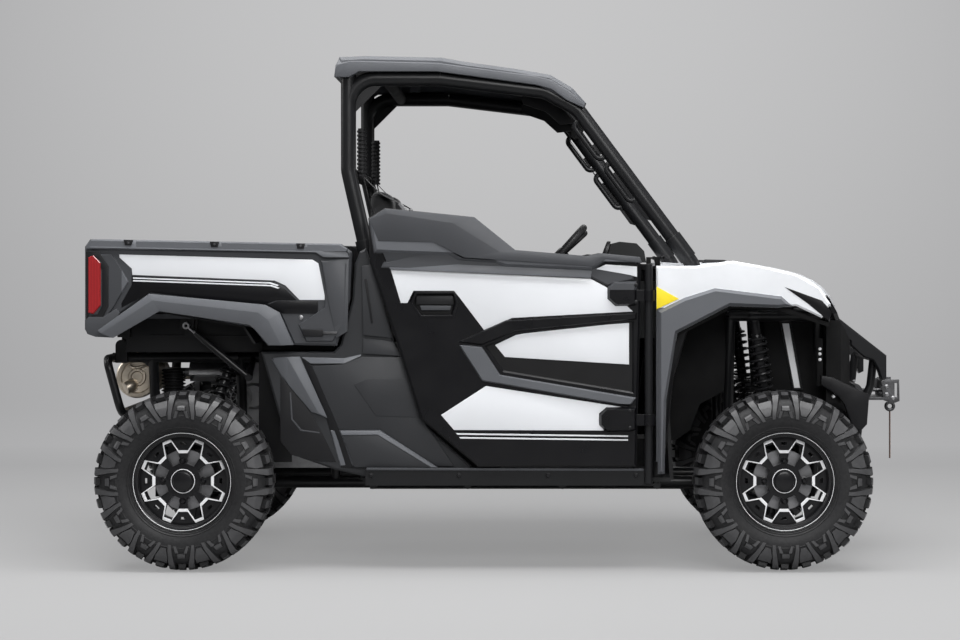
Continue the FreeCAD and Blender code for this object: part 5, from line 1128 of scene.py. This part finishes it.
# The side panels behind the doors
sill_bolt_pixels = [(x, 475.6) for x in (371, 459, 548, 636)]
quarter_mouldings = [
    ("quarter_band", 693, "trim_black", [(0, 1, 2, 5), (5, 2, 3, 4)], [
        (301.5, 358, 695), (312, 366, 704), (339, 430, 704), (353, 467.6, 704), (341, 467.6, 695),
        (326.5, 420, 695)]),
    ("quarter_field", 693, "quarter_grey", [(0, 1, 2, 3, 4, 5, 6, 7, 8)], [
        (312, 366, 704), (341, 364.5, 704), (361, 356.8, 704), (401.5, 357.2, 704),
        (421.5, 418, 704), (454, 466.4, 704), (437, 466.4, 704), (380, 429.2, 704),
        (339, 429.8, 704)]),
    # The ledge's up-facing top is in the paler flare grey: painted light on its lit face.
    ("quarter_ledge", 692, "flare_grey", [(0, 1, 4, 5), (1, 2, 3, 4)], [
        (301.4, 357, 694), (344, 358, 694), (361, 354.4, 694), (361, 356, 705), (344, 363.6, 705),
        (310.6, 363.6, 705)]),
    # The sill's top chamfer is in the paler flare grey: painted light on its up-facing face.
    ("quarter_sill_ridge", 693, "flare_grey", [(0, 1, 4, 5), (1, 2, 3, 4)], [
        (340, 430.6, 704), (380, 430.6, 704), (438, 467.4, 704), (431, 467.4, 713),
        (377.6, 434.8, 713), (341.8, 435.2, 713)]),
    ("quarter_sill_field", 693, "quarter_grey", [(0, 1, 2, 3)], [
        (341.8, 435.2, 711), (377.6, 434.8, 711), (431, 467.4, 711), (354.6, 467.4, 711)]),
    ("quarter_blade", 693, "flare_grey", [(0, 1, 6), (1, 4, 5, 6), (1, 2, 3, 4)], [
        (272.8, 357.8, 700), (287, 357, 710), (299.6, 356.6, 700), (327.3, 417.9, 700),
        (319, 413.8, 709), (311.8, 412.3, 700), (289, 385.7, 700)]),
    ("quarter_post", 692, "quarter_grey", [(0, 1, 2, 3)], [
        (361.6, 266, 700), (373, 264.6, 700), (392.4, 338, 700), (363, 335.2, 706)]),
    ("quarter_shoulder", 692, "quarter_grey", [(0, 1, 2, 3)], [
        (363, 337.8, 698), (393, 341.6, 698), (401.4, 356, 704), (362.6, 353.6, 704)]),
]
quarter_plates = [
    ("quarter_slot", 704, 1.2, 0.3, "trim_black", None, [
        (364.4, 279), (366.6, 279), (373, 322.6), (371, 323.6)]),
    ("quarter_lid", 704, 1.6, 0.8, "quarter_grey", None, [
        (367.5, 378.8), (407, 378.8), (419.4, 417.4), (375.8, 415.8), (354, 384.4)]),
    ("wheel_liner", 688, 8.0, 3.0, "trim_black", None, [
        (280.4, 376), (289, 386.6), (311.6, 413), (321, 430), (336.6, 462), (316, 461.4),
        (292, 455), (280.4, 441)]),
    ("wheel_liner_lid", 695.4, 1.0, 0.3, "body_dark_grey", None, [
        (289.6, 392.4), (291, 392.4), (292.8, 419), (301.6, 429.6), (319.6, 432), (319.6, 433.4),
        (300.6, 431), (291.2, 419.6)]),
    ("rear_inner_liner", 500, 6.0, 0.8, "trim_black", None, [
        (259, 352), (292, 352), (292, 462), (266, 462), (259, 440)]),
    ("sill_step", 720, 12.0, 1.5, "body_dark_grey", None, [
        (366.5, 467.6), (643.5, 468.4), (643.5, 470.8), (366.5, 470)]),
]


def quarter_panels():
    """Ridges, ledges and lids on the dark panels between the doors and the rear wheels."""
    mouldings(quarter_mouldings)
    plates(quarter_plates)
    side_bolts("sill_bolts_{side}", sill_bolt_pixels, 728, 7, "trim_black")


# The hood
hood_half = 508 * mm
hood_steps = 48
hood_arch = 1.7
# Each channel's place and width as shares of half the hood, and its depth
hood_channels = ((0.66, 0.09, 4 * mm), (0.3, 0.07, 2 * mm))
hood_thickness = at(4, 0, 16)
hood_hinge_place = at(646, 320, 1225.4)
hood_line = [(661, 262.4), (680, 263.2), (697, 263.6), (715, 262.6), (735, 262.2), (761, 266),
             (780, 269.8), (797, 274.4), (810, 280.4), (820, 287.6), (828, 297.6), (831.5, 305.5)]
hood_latch = ("hood_latch", 470, 20.0, 2.0, "trim_black", "trim_black", [
    (700, 264.6), (704.6, 259.4), (724, 259.8), (727, 261.2), (734, 261.4), (735.6, 263.2),
    (706, 264.4)])


def hood_point(pixel, across):
    """A point of the hood's skin; shallow channels run along it on either side of its middle."""
    share = abs(across) / hood_half
    place = seen(pixel, -hood_half * share ** hood_arch)
    sunk = sum(depth * math.exp(-((share - middle) / width) ** 2)
               for middle, width, depth in hood_channels)
    return Vector((place.x, across, place.z - sunk))


def hood_form():
    """The lid as a closed skin, arched across the vehicle."""
    form = bmesh.new()
    line = [Vector((x, 0, y)) for x, y in hood_line]
    pixels = [(p.x, p.z) for p in curved(line, 3)]
    rows = []
    for step in range(hood_steps + 1):
        across = hood_half * (2 * step / hood_steps - 1)
        top = [hood_point(pixel, across) for pixel in pixels]
        under = [point - hood_thickness for point in reversed(top)]
        rows.append([form.verts.new(point) for point in top + under])
    size = len(rows[0])
    for near, far in zip(rows, rows[1:]):
        for i in range(size):
            j = (i + 1) % size
            form.faces.new((near[i], near[j], far[j], far[i]))
    form.faces.new(rows[0])
    form.faces.new(rows[-1])
    return to_mesh("hood_skin", form, 35)


def hood():
    """The smooth white lid over the front, with its black latches and hinges."""
    lid = piece("hood_skin", hood_form(), "body_white", "hood")
    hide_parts("hood")
    plates([hood_latch], hood_pair)
    barrel = turned("barrel", [(0, -22), (8, -22), (8, 22), (0, 22)], 20)
    foot = sweep_mesh("foot", [at(648, 320, 1224), at(660, 320, 1194)], flat_section(20, 5))
    hinge = merged("hood_hinge", [(barrel, pointed(hood_hinge_place, (0, 1, 0))), foot])
    pair("hood_hinge", hinge, "trim_black", hood_pair)


# The front wheel arches, the cage's fittings and the marks on the front fenders
bracket_bolt_pixels = [(820, 349), (820, 354), (820, 359.6), (833.6, 396.6)]
guard_bolt_pixels = [(839.6, 348), (840.6, 354), (841.2, 360), (854, 381)]
fairlead_bolt_pixels = [(886.5, 386.5), (886.8, 394.5), (893, 398)]
strut_hole = [(782, 323.4), (788.8, 323.4), (800.2, 387.8), (794, 387.8)]
front_plates = [
    ("arch_liner_rear", 360, 5.0, 2.0, "liner_black", "trim_black", [
        (662, 318), (727, 305), (726, 345), (724, 391), (700, 404), (690, 430), (676, 440),
        (662, 440)]),
    ("arch_liner_front", 360, 5.0, 2.0, "liner_black", "trim_black", [
        (763, 307), (829, 321), (846, 344), (846, 398), (824, 402), (769, 396)]),
    ("arch_window_frame", 365, 10.0, 1.5, "trim_black", None, [
        (779.6, 321), (790.4, 321), (802.6, 389.8), (792.4, 389.8)], strut_hole),
    ("arch_window_plate", 366, 3.0, 0.5, "rim_cut", None, strut_hole),
    ("arch_liner_top", 700, 3.0, 0.8, "liner_black", "trim_black", [
        (672, 331), (730, 303.6), (780, 305.6), (829, 322.6), (829, 327), (776, 310),
        (731, 308.4), (676, 337)]),
    ("cheek", 470, 22.0, 7.0, "trim_black", "trim_black", [
        (820.6, 375.4), (832, 377), (857, 389), (868.6, 394), (868, 404), (866.5, 424), (860, 431),
        (852, 427), (843.5, 404), (838, 396.6), (828, 389.5), (820.6, 385)]),
    ("tow_bracket", 460, 6.0, 0.8, "liner_black", "trim_black", [
        (816.4, 338.6), (822.6, 338.6), (822.6, 386), (817, 386)]),
    ("overhead_bin", 300, 12.0, 0.8, "trim_black", None, [
        (521, 94), (556, 100), (575, 123), (560, 124.6), (546, 112), (523, 104)]),
    ("fairlead_side", 106, 5.0, 0.8, "winch_grey", None, [
        (881, 381.6), (886, 379.4), (899, 379.4), (899.4, 401), (893, 403.4), (883.6, 400)], [
        (894.4, 383), (897, 383), (897, 397), (894.4, 397)]),
    ("fender_corner_panel", 735, 1.6, 0.8, "accent_yellow", "body_white", [
        (656.5, 286.5), (679, 298.8), (656.5, 309.3)]),
    ("lamp_wedge", 735, 1.6, 0.8, "body_black", "trim_black", [
        (784.6, 287), (822, 300.6), (832, 312), (829, 321), (807, 303)]),
    ("pillar_infill", 600, 8.0, 0.8, "trim_black", "trim_black", [
        (565, 108), (571, 104), (655, 222), (645, 219), (611, 172.5)], [
        (577, 124), (579, 122.6), (594, 144), (592, 145.4)], [
        (600, 155), (602, 153.6), (615, 172), (613, 173.4)]),
]


def front_fittings():
    """Liners round the front wheels, panels and bolts at the front, and the winch's rope."""
    plates(front_plates)
    side_bolts("bracket_bolts_{side}", bracket_bolt_pixels, 468, 4.4, "rim_cut",
               out=466)
    side_bolts("guard_bolts_{side}_0", guard_bolt_pixels, 338, 4, "brake_grey")
    side_bolts("fairlead_bolts_{side}", fairlead_bolt_pixels, 112, 6, "bare_steel")
    rope = ribbed("winch_rope", [(31, 1), (34, 3.2), (34, 7.8), (31, 10)], 12, 9, -55, 54, 40)
    piece("winch_rope", rope, "webbing", "chassis", pointed(at(1455, 0, 668), (0, 1, 0)))


# The rear machinery
can = at(-1512, -265, 735)
weld_places = (-250, -130, 0, 118)
fan_hub = at(-1094, -262, 651)
fan_bars = 10


def muffler():
    """Weld rings, a strap, and the end with its outlet and clamp."""
    bead = turned("bead", [(76, -3), (80.5, -1.5), (80.5, 1.5), (76, 3)], 60)
    welds = [(bead, pointed(Vector((can.x, y * mm, can.z)), (0, 1, 0))) for y in weld_places]
    piece("muffler_welds", merged("muffler_welds", welds), "muffler_metal", "chassis")
    face = turned("can_face", [
        (0, 1), (22, 1), (26, 7), (34, 7), (38, 2), (62, 4), (66, 10), (80, 9), (86, 2), (86, -14),
        (80, -16), (0, -16), (0, 1)], 60)
    outlet_line = curved([can + at(-20, 2, -30), can + at(-22, -26, -34), can + at(-42, -40, -44)])
    clamp_line = curved([can + at(44, -3, 50), can + at(-6, -8, 38), can + at(-30, -8, 48)])
    end = [(face, pointed(can, (0, -1, 0))),
           sweep_mesh("outlet", outlet_line, round_section(25, 20)),
           sweep_mesh("clamp", clamp_line, round_section(6, 10))]
    piece("muffler_end", merged("muffler_end", end), "muffler_metal", "chassis")
    turns = [math.radians(8 * step - 30) for step in range(15)]
    strap = [can + at(74 * math.cos(turn), -9, 74 * math.sin(turn)) for turn in turns]
    piece("muffler_band", sweep_mesh("band", strap, flat_section(9, 3), up=(0, 1, 0)),
          "cast_metal", "chassis")


def fan_guard():
    """A wire disc of three rings and bent spokes."""
    bars = []
    for place in range(fan_bars):
        turn = 2 * math.pi * place / fan_bars
        reach = Vector((math.cos(turn), 0, math.sin(turn)))
        bend = Vector((math.cos(turn + 0.5), 0, math.sin(turn + 0.5)))
        line = [fan_hub + reach * 10 * mm, fan_hub + bend * 30 * mm, fan_hub + reach * 54 * mm]
        bars.append(sweep_mesh("bar", line, round_section(2, 6)))
    for radius in (13, 34, 54):
        ring = [fan_hub + point for point in circle(radius, 40, second=(0, 0, 1))]
        bars.append(sweep_mesh("ring", ring, round_section(2.4, 6), closed=True))
    piece("fan_guard", merged("fan_guard", bars), "engine_metal", "chassis")


def rear_machinery():
    """Muffler, bellows, covers and the wire disc in front of the engine."""
    muffler()
    fan_guard()
    bellows = ribbed("bellows", [(40, 0), (50, 4), (50, 8), (40, 12)], 8, 14, 0, 110, 40)
    piece("intake_bellows", bellows, "shock_black", "chassis",
          pointed(at(-1378, -160, 655), (0, 0, 1)))
    arch = [(60 * math.cos(a) * mm, 60 * math.sin(a) * mm) for a in
            [math.pi * i / 12 for i in range(13)]]
    cover = sweep_mesh("cover", [at(-1306, -160, 742), at(-1045, -160, 742)], arch)
    piece("clutch_duct", cover, "engine_metal", "chassis")
    gaiter = ribbed("gaiter", [(13, 0), (19, 4), (13, 8)], 9, 13, 0, 118, 28)
    place = pointed(at(-1102, -330, 745), (0, 0, 1))
    pair("shift_gaiter", merged("shift_gaiter", [(gaiter, place)]), "shock_black")


# The seats: low and high corner, edge radius in mm, the axis that the face looks along, the sewn
# lines across and along it, how far it may swell in mm, and the node that it stands for
pads = {
    "seat_cushion": (at(-520, 50, 742), at(-4, 550, 862), 32, 2, (-0.16, -0.31), (0.15, 0.45), 20,
                     "seat_cushions"),
    "seat_back": (at(-545, 52, 884), at(-428, 548, 1286), 30, 0, (1.02, 1.15), (0.15, 0.45), 20,
                  "seat_backs"),
    "head_rest": (at(-545, 168, 1300), at(-462, 432, 1490), 34, 0, (), (), 9, None),
}
pad_step = 13 * mm
seam_width = 5 * mm
filling = {"vertex_group_mass": "seams", "use_pressure": True, "uniform_pressure_force": 3.5,
           "tension_stiffness": 20, "compression_stiffness": 20, "bending_stiffness": 2,
           "shrink_min": -0.04}
filling_frames = 20


def rounded_box(name, low, high, radius, step):
    """A box with round edges, in squares of about one step."""
    form = bmesh.new()
    size = high - low
    for axis in range(3):
        across, along = (axis + 1) % 3, (axis + 2) % 3
        counts = [max(2, round(size[k] / step)) for k in (across, along)]
        for end in (low[axis], high[axis]):
            grid = {}
            for i in range(counts[0] + 1):
                for j in range(counts[1] + 1):
                    point = Vector()
                    point[axis] = end
                    point[across] = low[across] + size[across] * i / counts[0]
                    point[along] = low[along] + size[along] * j / counts[1]
                    core = Vector([min(max(point[k], low[k] + radius), high[k] - radius)
                                   for k in range(3)])
                    grid[i, j] = form.verts.new(core + (point - core).normalized() * radius)
            for i in range(counts[0]):
                for j in range(counts[1]):
                    form.faces.new((grid[i, j], grid[i + 1, j], grid[i + 1, j + 1], grid[i, j + 1]))
    bmesh.ops.remove_doubles(form, verts=form.verts, dist=0.2 * mm)
    return to_mesh(name, form, 80)


def puffed(mesh, seam_at, reach):
    """Cloth filled from within: it swells between the seams, which stay where they are."""
    cover = shown("cover", mesh)
    seams = cover.vertex_groups.new(name="seams")
    seams.add([v.index for v in mesh.vertices if seam_at(v.co)], 1.0, "REPLACE")
    cloth = cover.modifiers.new("filling", "CLOTH")
    for key, value in filling.items():
        setattr(cloth.settings, key, value)
    cloth.settings.effector_weights.gravity = 0
    scene = bpy.context.scene
    for frame_number in range(1, filling_frames + 1):
        scene.frame_set(frame_number)
    swollen = bpy.data.meshes.new_from_object(cover.evaluated_get(
        bpy.context.evaluated_depsgraph_get()))
    for before, after in zip(mesh.vertices, swollen.vertices):
        step = after.co - before.co
        if step.length > reach:
            after.co = before.co + step.normalized() * reach
    scene.frame_set(1)
    bpy.data.objects.remove(cover)
    return shaded(swollen, 80)


def near_line(value, lines):
    """Whether a value lies on one of the seams."""
    return any(abs(value - line) < seam_width for line in lines)


def seat_seams(low, high, radius, up, across_lines, side_lines):
    """Whether a point of a cushion is sewn: the rim of its face, or a line on it."""
    flat = 3 - up - 1

    def sewn(point):
        """Whether the cloth is held at a point."""
        edge = high[up] - radius * 1.1
        on_face = point[up] > edge
        rim = abs(point[up] - (high[up] - radius * 0.9)) < 5 * mm
        lines = near_line(point[1], side_lines) or near_line(point[flat], across_lines)
        return rim or point[up] < edge - 40 * mm or (on_face and lines)
    return sewn


def seats():
    """Covers sewn and filled over the seats' foam, head restraint posts and back shells."""
    for name, (low, high, radius, up, across_lines, side_lines, reach, node) in pads.items():
        mesh = rounded_box(name, low, high, radius * mm, pad_step)
        seams = seat_seams(low, high, radius * mm, up, across_lines, side_lines)
        mesh = puffed(mesh, seams, reach * mm)
        made = [piece(name + "_left", mesh, "seat_cover", "chassis"),
                piece(name + "_right", mirrored(mesh), "seat_cover", "chassis")]
        if node:
            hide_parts(node)
    posts = [sweep_mesh("post", [at(-487, y, 1270), at(-487, y, 1320)], round_section(7))
             for y in (250, 350)]
    pair("head_rest_posts", merged("head_rest_posts", posts), "bare_steel")
    shell = [(x * mm, z * mm) for x, z in (
        (-552, 890), (-536, 890), (-536, 1270), (-548, 1282), (-556, 1270))]
    back_shell = plate_mesh("seat_shell", [shell], 540 * mm, 60 * mm, 2 * mm)
    pair("seat_shell", mirrored(back_shell), "trim_black")


# The belts
belt_width = 46
belt_route = [(-574, -464, 1556), (-500, -452, 1484), (-405, -440, 1424), (-382, -476, 1300),
              (-384, -538, 1060), (-400, -566, 900)]
buckle_foot = at(-430, -30, 860)
buckle_top = at(-420, -30, 965)
button_top = at(-419.6, -30, 969)


def belts():
    """Webbing that hangs from each guide, its tongue, and the buckles between the seats."""
    line = curved([at(*point) for point in belt_route])
    strap = sweep_mesh("belt_strap", line, flat_section(belt_width / 2, 0.9), up=(1, 0, 0.4))
    length = sum((b - a).length for a, b in zip(line, line[1:]))
    for web in pair("belt_strap", strap, "belt_web"):
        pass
    tongue = sweep_mesh("tongue", [line[14], line[17]], flat_section(27, 5))
    pair("belt_tongue", tongue, "bare_steel")
    across = {"up": (0, 1, 0)}
    buckle = sweep_mesh("belt_buckle", [buckle_foot, buckle_top], flat_section(13, 9), **across)
    pair("belt_buckle", buckle, "trim_black")
    button = sweep_mesh("belt_button", [buckle_top, button_top], flat_section(9.1, 6.3), **across)
    pair("belt_button", button, "red_lens")


# The dashboard
def across_mesh(name, outlines, surface, thickness, edge, way=-1):
    """A panel given by (y, z) points in mm that faces back, or forward where way is 1."""
    outlines = [[(y * mm, z * mm) for y, z in points] for points in outlines]
    back, face = -surface * mm - way * plate_sink, -(surface + way * thickness) * mm
    mesh = plate_mesh(name, outlines, back, face, edge * mm)
    mesh.transform(Matrix.Rotation(math.radians(90), 4, "Z"))
    return mesh


def facing_back(name, surface, thickness, finish, *outlines, edge=1.5, slot=None, body="chassis"):
    """A panel that faces back, its surface, thickness and edge in mm."""
    mesh = across_mesh(name, outlines, surface, thickness, edge)
    return piece(name, mesh, finish, body)


def box_line(y, z, width, height, cut=6):
    """A rectangle with cut corners round a middle, in mm."""
    half, rise = width / 2, height / 2
    return [(y - half + cut, z - rise), (y + half - cut, z - rise), (y + half, z - rise + cut),
            (y + half, z + rise - cut), (y + half - cut, z + rise), (y - half + cut, z + rise),
            (y - half, z + rise - cut), (y - half, z - rise + cut)]


dash_x = 430
vent_places = (-500, -160, 160, 540)
switch_count = 5
gauge_centre = at(431, 380, 1236)
gauge_lean = (-0.94, 0, 0.34)
gauge_ticks = 21
lever_top = at(364, 182, 1106)


def gauge():
    """A round gauge with plain ticks and a needle."""
    place = pointed(gauge_centre, gauge_lean)
    dial = turned("dial", [(0, 0), (50, 0), (50, 4), (56, 4), (60, 9), (64, 9), (68, 2), (68, -6),
                           (0, -6), (0, 0)], 60)
    piece("gauge_bezel", dial, "trim_black", place=place)
    bar = flat_section(0.8, 0.3)
    lift = at(0, 0, 0.6)
    ticks = []
    for number in range(gauge_ticks):
        turn = math.radians(-135 + 13.5 * number)
        long = 5 if number % 5 else 9
        out = Vector((math.cos(turn), math.sin(turn), 0))
        ends = [out * (46 - long) * mm + lift, out * 46 * mm + lift]
        ticks.append(sweep_mesh("tick", ends, bar))
    ticks.append(sweep_mesh("needle", [at(0, 0, 2), at(-24, 26, 2)], bar))
    piece("gauge_marks", merged("gauge_marks", ticks), "rim_cut", place=place)


def gear_lever():
    """A bent rod with a plain knob."""
    lever_line = [at(434, 190, 985), at(400, 188, 1010), at(372, 184, 1060), at(364, 182, 1110)]
    lever = sweep_mesh("gear_lever", curved(lever_line), round_section(6))
    piece("gear_lever", lever, "bare_steel", "chassis")
    knob = turned("knob", [(0, -6), (10, -6), (16, 4), (20, 20), (19, 34), (13, 42), (0, 44)], 24)
    piece("gear_knob", knob, "trim_black", "chassis", place=pointed(lever_top, (-0.1, 0, 1)))


def dashboard():
    """Glove box, display, vents, switches, gauge and gear lever on the dash."""
    screen = box_line(0, 1112, 168, 86, 6)
    facing_back("glove_box", dash_x, 7, "body_dark_grey", box_line(-330, 1015, 380, 150, 16))
    facing_back("glove_latch", dash_x - 6, 5, "trim_black", box_line(-330, 1078, 84, 20))
    facing_back("centre_panel", dash_x, 6, "body_black", box_line(0, 1080, 230, 190, 18))
    facing_back("display_frame", dash_x - 5, 6, "trim_black", box_line(0, 1112, 190, 106, 10), screen)
    facing_back("display_glass", dash_x - 5, 2, "lamp_lens", screen)
    for number in range(switch_count):
        y = -80 + number * 40
        facing_back("dash_switch_%d" % number, dash_x - 5, 7, "trim_black",
                    box_line(y, 1022, 30, 44, 4))
        facing_back("dash_switch_mark_%d" % number, dash_x - 11, 0.8, "rim_cut",
                    box_line(y, 1030, 10, 3, 1), edge=0.2)
    for number, y in enumerate(vent_places):
        facing_back("vent_frame_%d" % number, dash_x, 8, "trim_black",
                    box_line(y, 1150, 92, 52, 12), box_line(y, 1150, 76, 36, 8))
        for slat in range(4):
            facing_back("vent_slat_%d_%d" % (number, slat), dash_x, 6, "trim_black",
                        box_line(y, 1137 + 9 * slat, 76, 3, 1), edge=0.4)
    gauge()
    gear_lever()


steering_centre = at(229, 380, 1232)
steering_lean = math.radians(48.4)


def steering_pad():
    """The middle of the steering wheel and its rim's grip."""
    place = pointed(steering_centre, (-math.sin(steering_lean), 0, math.cos(steering_lean)))
    hub = turned("steering_hub", [(0, 22), (30, 21), (44, 15), (50, 4), (46, -16), (30, -30),
                                  (0, -30)], 36)
    grip = sweep_mesh("steering_grip", circle(168, 72), round_section(15.5, 14), closed=True)
    piece("steering_hub", hub, "trim_black", "steering_wheel", place=place)
    piece("steering_grip", grip, "belt_black", "steering_wheel", place=place)


# The headlamps, drawn as (y, z) points in mm before they lean back with the fender
lamp_lean = Matrix.Translation(at(1318, 0, 985)) @ Matrix.Rotation(math.radians(-30), 4, "Y")
lamp_body = [(-470, 16), (-470, 66), (-520, 90), (-690, 108), (-716, 96), (-704, 30), (-660, 0),
             (-500, 0)]
lamp_glass = [(-482, 22), (-482, 60), (-524, 80), (-686, 97), (-703, 88), (-692, 34), (-655, 10),
              (-505, 10)]
lamp_bar = [(-490, 62), (-526, 74), (-684, 91), (-684, 85), (-527, 67), (-490, 55)]
lamp_eyes = (at(-16, -552, 40), at(-16, -622, 46))


def headlamps():
    """Black housings with two round lamps and a light bar under each end of the hood."""
    eye = turned("lamp_eye", [(0, 7), (10, 6), (17, 2), (18, 0), (0, 0)], 36)
    ring = turned("lamp_ring", [(19, 0), (20, 7), (23, 8), (25, 5), (25, 0), (19, 0)], 36)
    places = [pointed(centre, (1, 0, 0)) for centre in lamp_eyes]
    for name, mesh, finish in (
            ("lamp_housing", across_mesh("lamp_housing", [lamp_body, lamp_glass], -18, 18, 2.5, 1),
             "body_black"),
            ("lamp_bowl", across_mesh("lamp_bowl", [lamp_glass], -22, 6, 1, 1), "liner_black"),
            ("lamp_bar", across_mesh("lamp_bar", [lamp_bar], -16, 6, 1, 1), "rim_cut"),
            ("lamp_eyes", merged("lamp_eyes", [(eye, place) for place in places]), "lamp_lens"),
            ("lamp_rings", merged("lamp_rings", [(ring, place) for place in places]), "brake_grey")):
        mesh.transform(lamp_lean)
        pair(name, mesh, finish)


# The roof's sides and the cage under them
roof_top = [(339.4, 58.6), (350, 57.6), (359, 57.6), (437, 59.8), (466, 63.6), (532, 72),
            (551, 76.2), (570.5, 86.6), (585.6, 102.6)]
roof_middle = [(335.6, 65), (350, 61.6), (359, 61.6), (437, 63.4), (466, 67.4), (534, 76.2),
               (551, 80.6), (568, 91.2), (584.8, 105)]
roof_bottom = [(334, 77), (349, 77), (358.5, 71.3), (437.2, 71.3), (466, 75.2), (535.4, 84.6),
               (551.2, 88.8), (567, 100.2), (583.7, 107.6)]
cage_post_radius = 30.2


def roof_sides():
    """The roof's drooped edges, and the uprights that close the cage's rear corners."""
    points, faces = banded([(roof_top, 632), (roof_middle, 648), (roof_bottom, 651)])
    faceted("roof_side", points, faces, 622, "roof_plastic", crease=2.4)
    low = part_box("cage_right")[0]
    foot = Vector((low.x, 0, 0)) + at(30, 600, 1760)
    post = sweep_mesh("post", [foot, foot + at(0, 0, 190)], round_section(cage_post_radius, 28))
    pair("cage_post_top", mirrored(post), "frame_steel")


rib_heights = (1010, 1050, 1090, 1130)
gate_hinge_y = 560


def tailgate_face():
    """Ribs, a latch lever in its frame and hinge straps on the tailgate."""
    gate = {"body": "tailgate"}
    for side in (-1, 1):
        for number, z in enumerate(rib_heights):
            facing_back("tailgate_rib_%d_%d" % (number, side + 1), -1639, 7, "body_dark_grey",
                        box_line(side * 400, z, 420, 14, 5), edge=2.5, slot="body_dark_grey", **gate)
        facing_back("tailgate_hinge_%d" % (side + 1), -1640, 6, "frame_steel",
                    box_line(side * gate_hinge_y, 1000, 56, 76, 8), edge=2, slot="frame_steel", **gate)
        heads = [at(-1642.4, side * gate_hinge_y, z) for z in (980, 1020)]
        bolts("tailgate_bolts_%d" % (side + 1), heads, (-1, 0, 0), 5, "bare_steel", "tailgate")
    facing_back("tailgate_latch_frame", -1640, 7.5, "trim_black", box_line(0, 1170, 230, 84, 14),
                box_line(0, 1170, 196, 54, 10), edge=2.5, slot="trim_black", **gate)
    facing_back("tailgate_lever", -1638, 7, "cast_metal", box_line(0, 1176, 184, 30, 8), edge=3,
                slot="trim_black", **gate)


strap_edge = 2 * mm


def hook_strap():
    """The webbing strap that hangs from the winch hook."""
    low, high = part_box("hook_strap")
    middle = (low + high) / 2
    route = [(middle.x, middle.y, z) for z in (high.z, middle.z, low.z)]
    curve = bpy.data.curves.new("hook_strap_web", "CURVE")
    curve.dimensions = "3D"
    spline = curve.splines.new("NURBS")
    spline.points.add(len(route) - 1)
    for point, place in zip(spline.points, route):
        point.co = (*place, 1)
    spline.order_u = 3
    spline.use_endpoint_u = True
    curve.bevel_depth = strap_edge
    curve.extrude = (high.y - low.y) / 2 - strap_edge
    curve.materials.append(finishes["webbing"])
    web = shown("hook_strap_web", curve)
    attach(web, "chassis")
    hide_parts("hook_strap")


wheels()
shocks()
doors()
bed_sides()
quarter_panels()
hood()
front_fittings()
rear_machinery()
seats()
belts()
dashboard()
steering_pad()
headlamps()
roof_sides()
tailgate_face()
hook_strap()
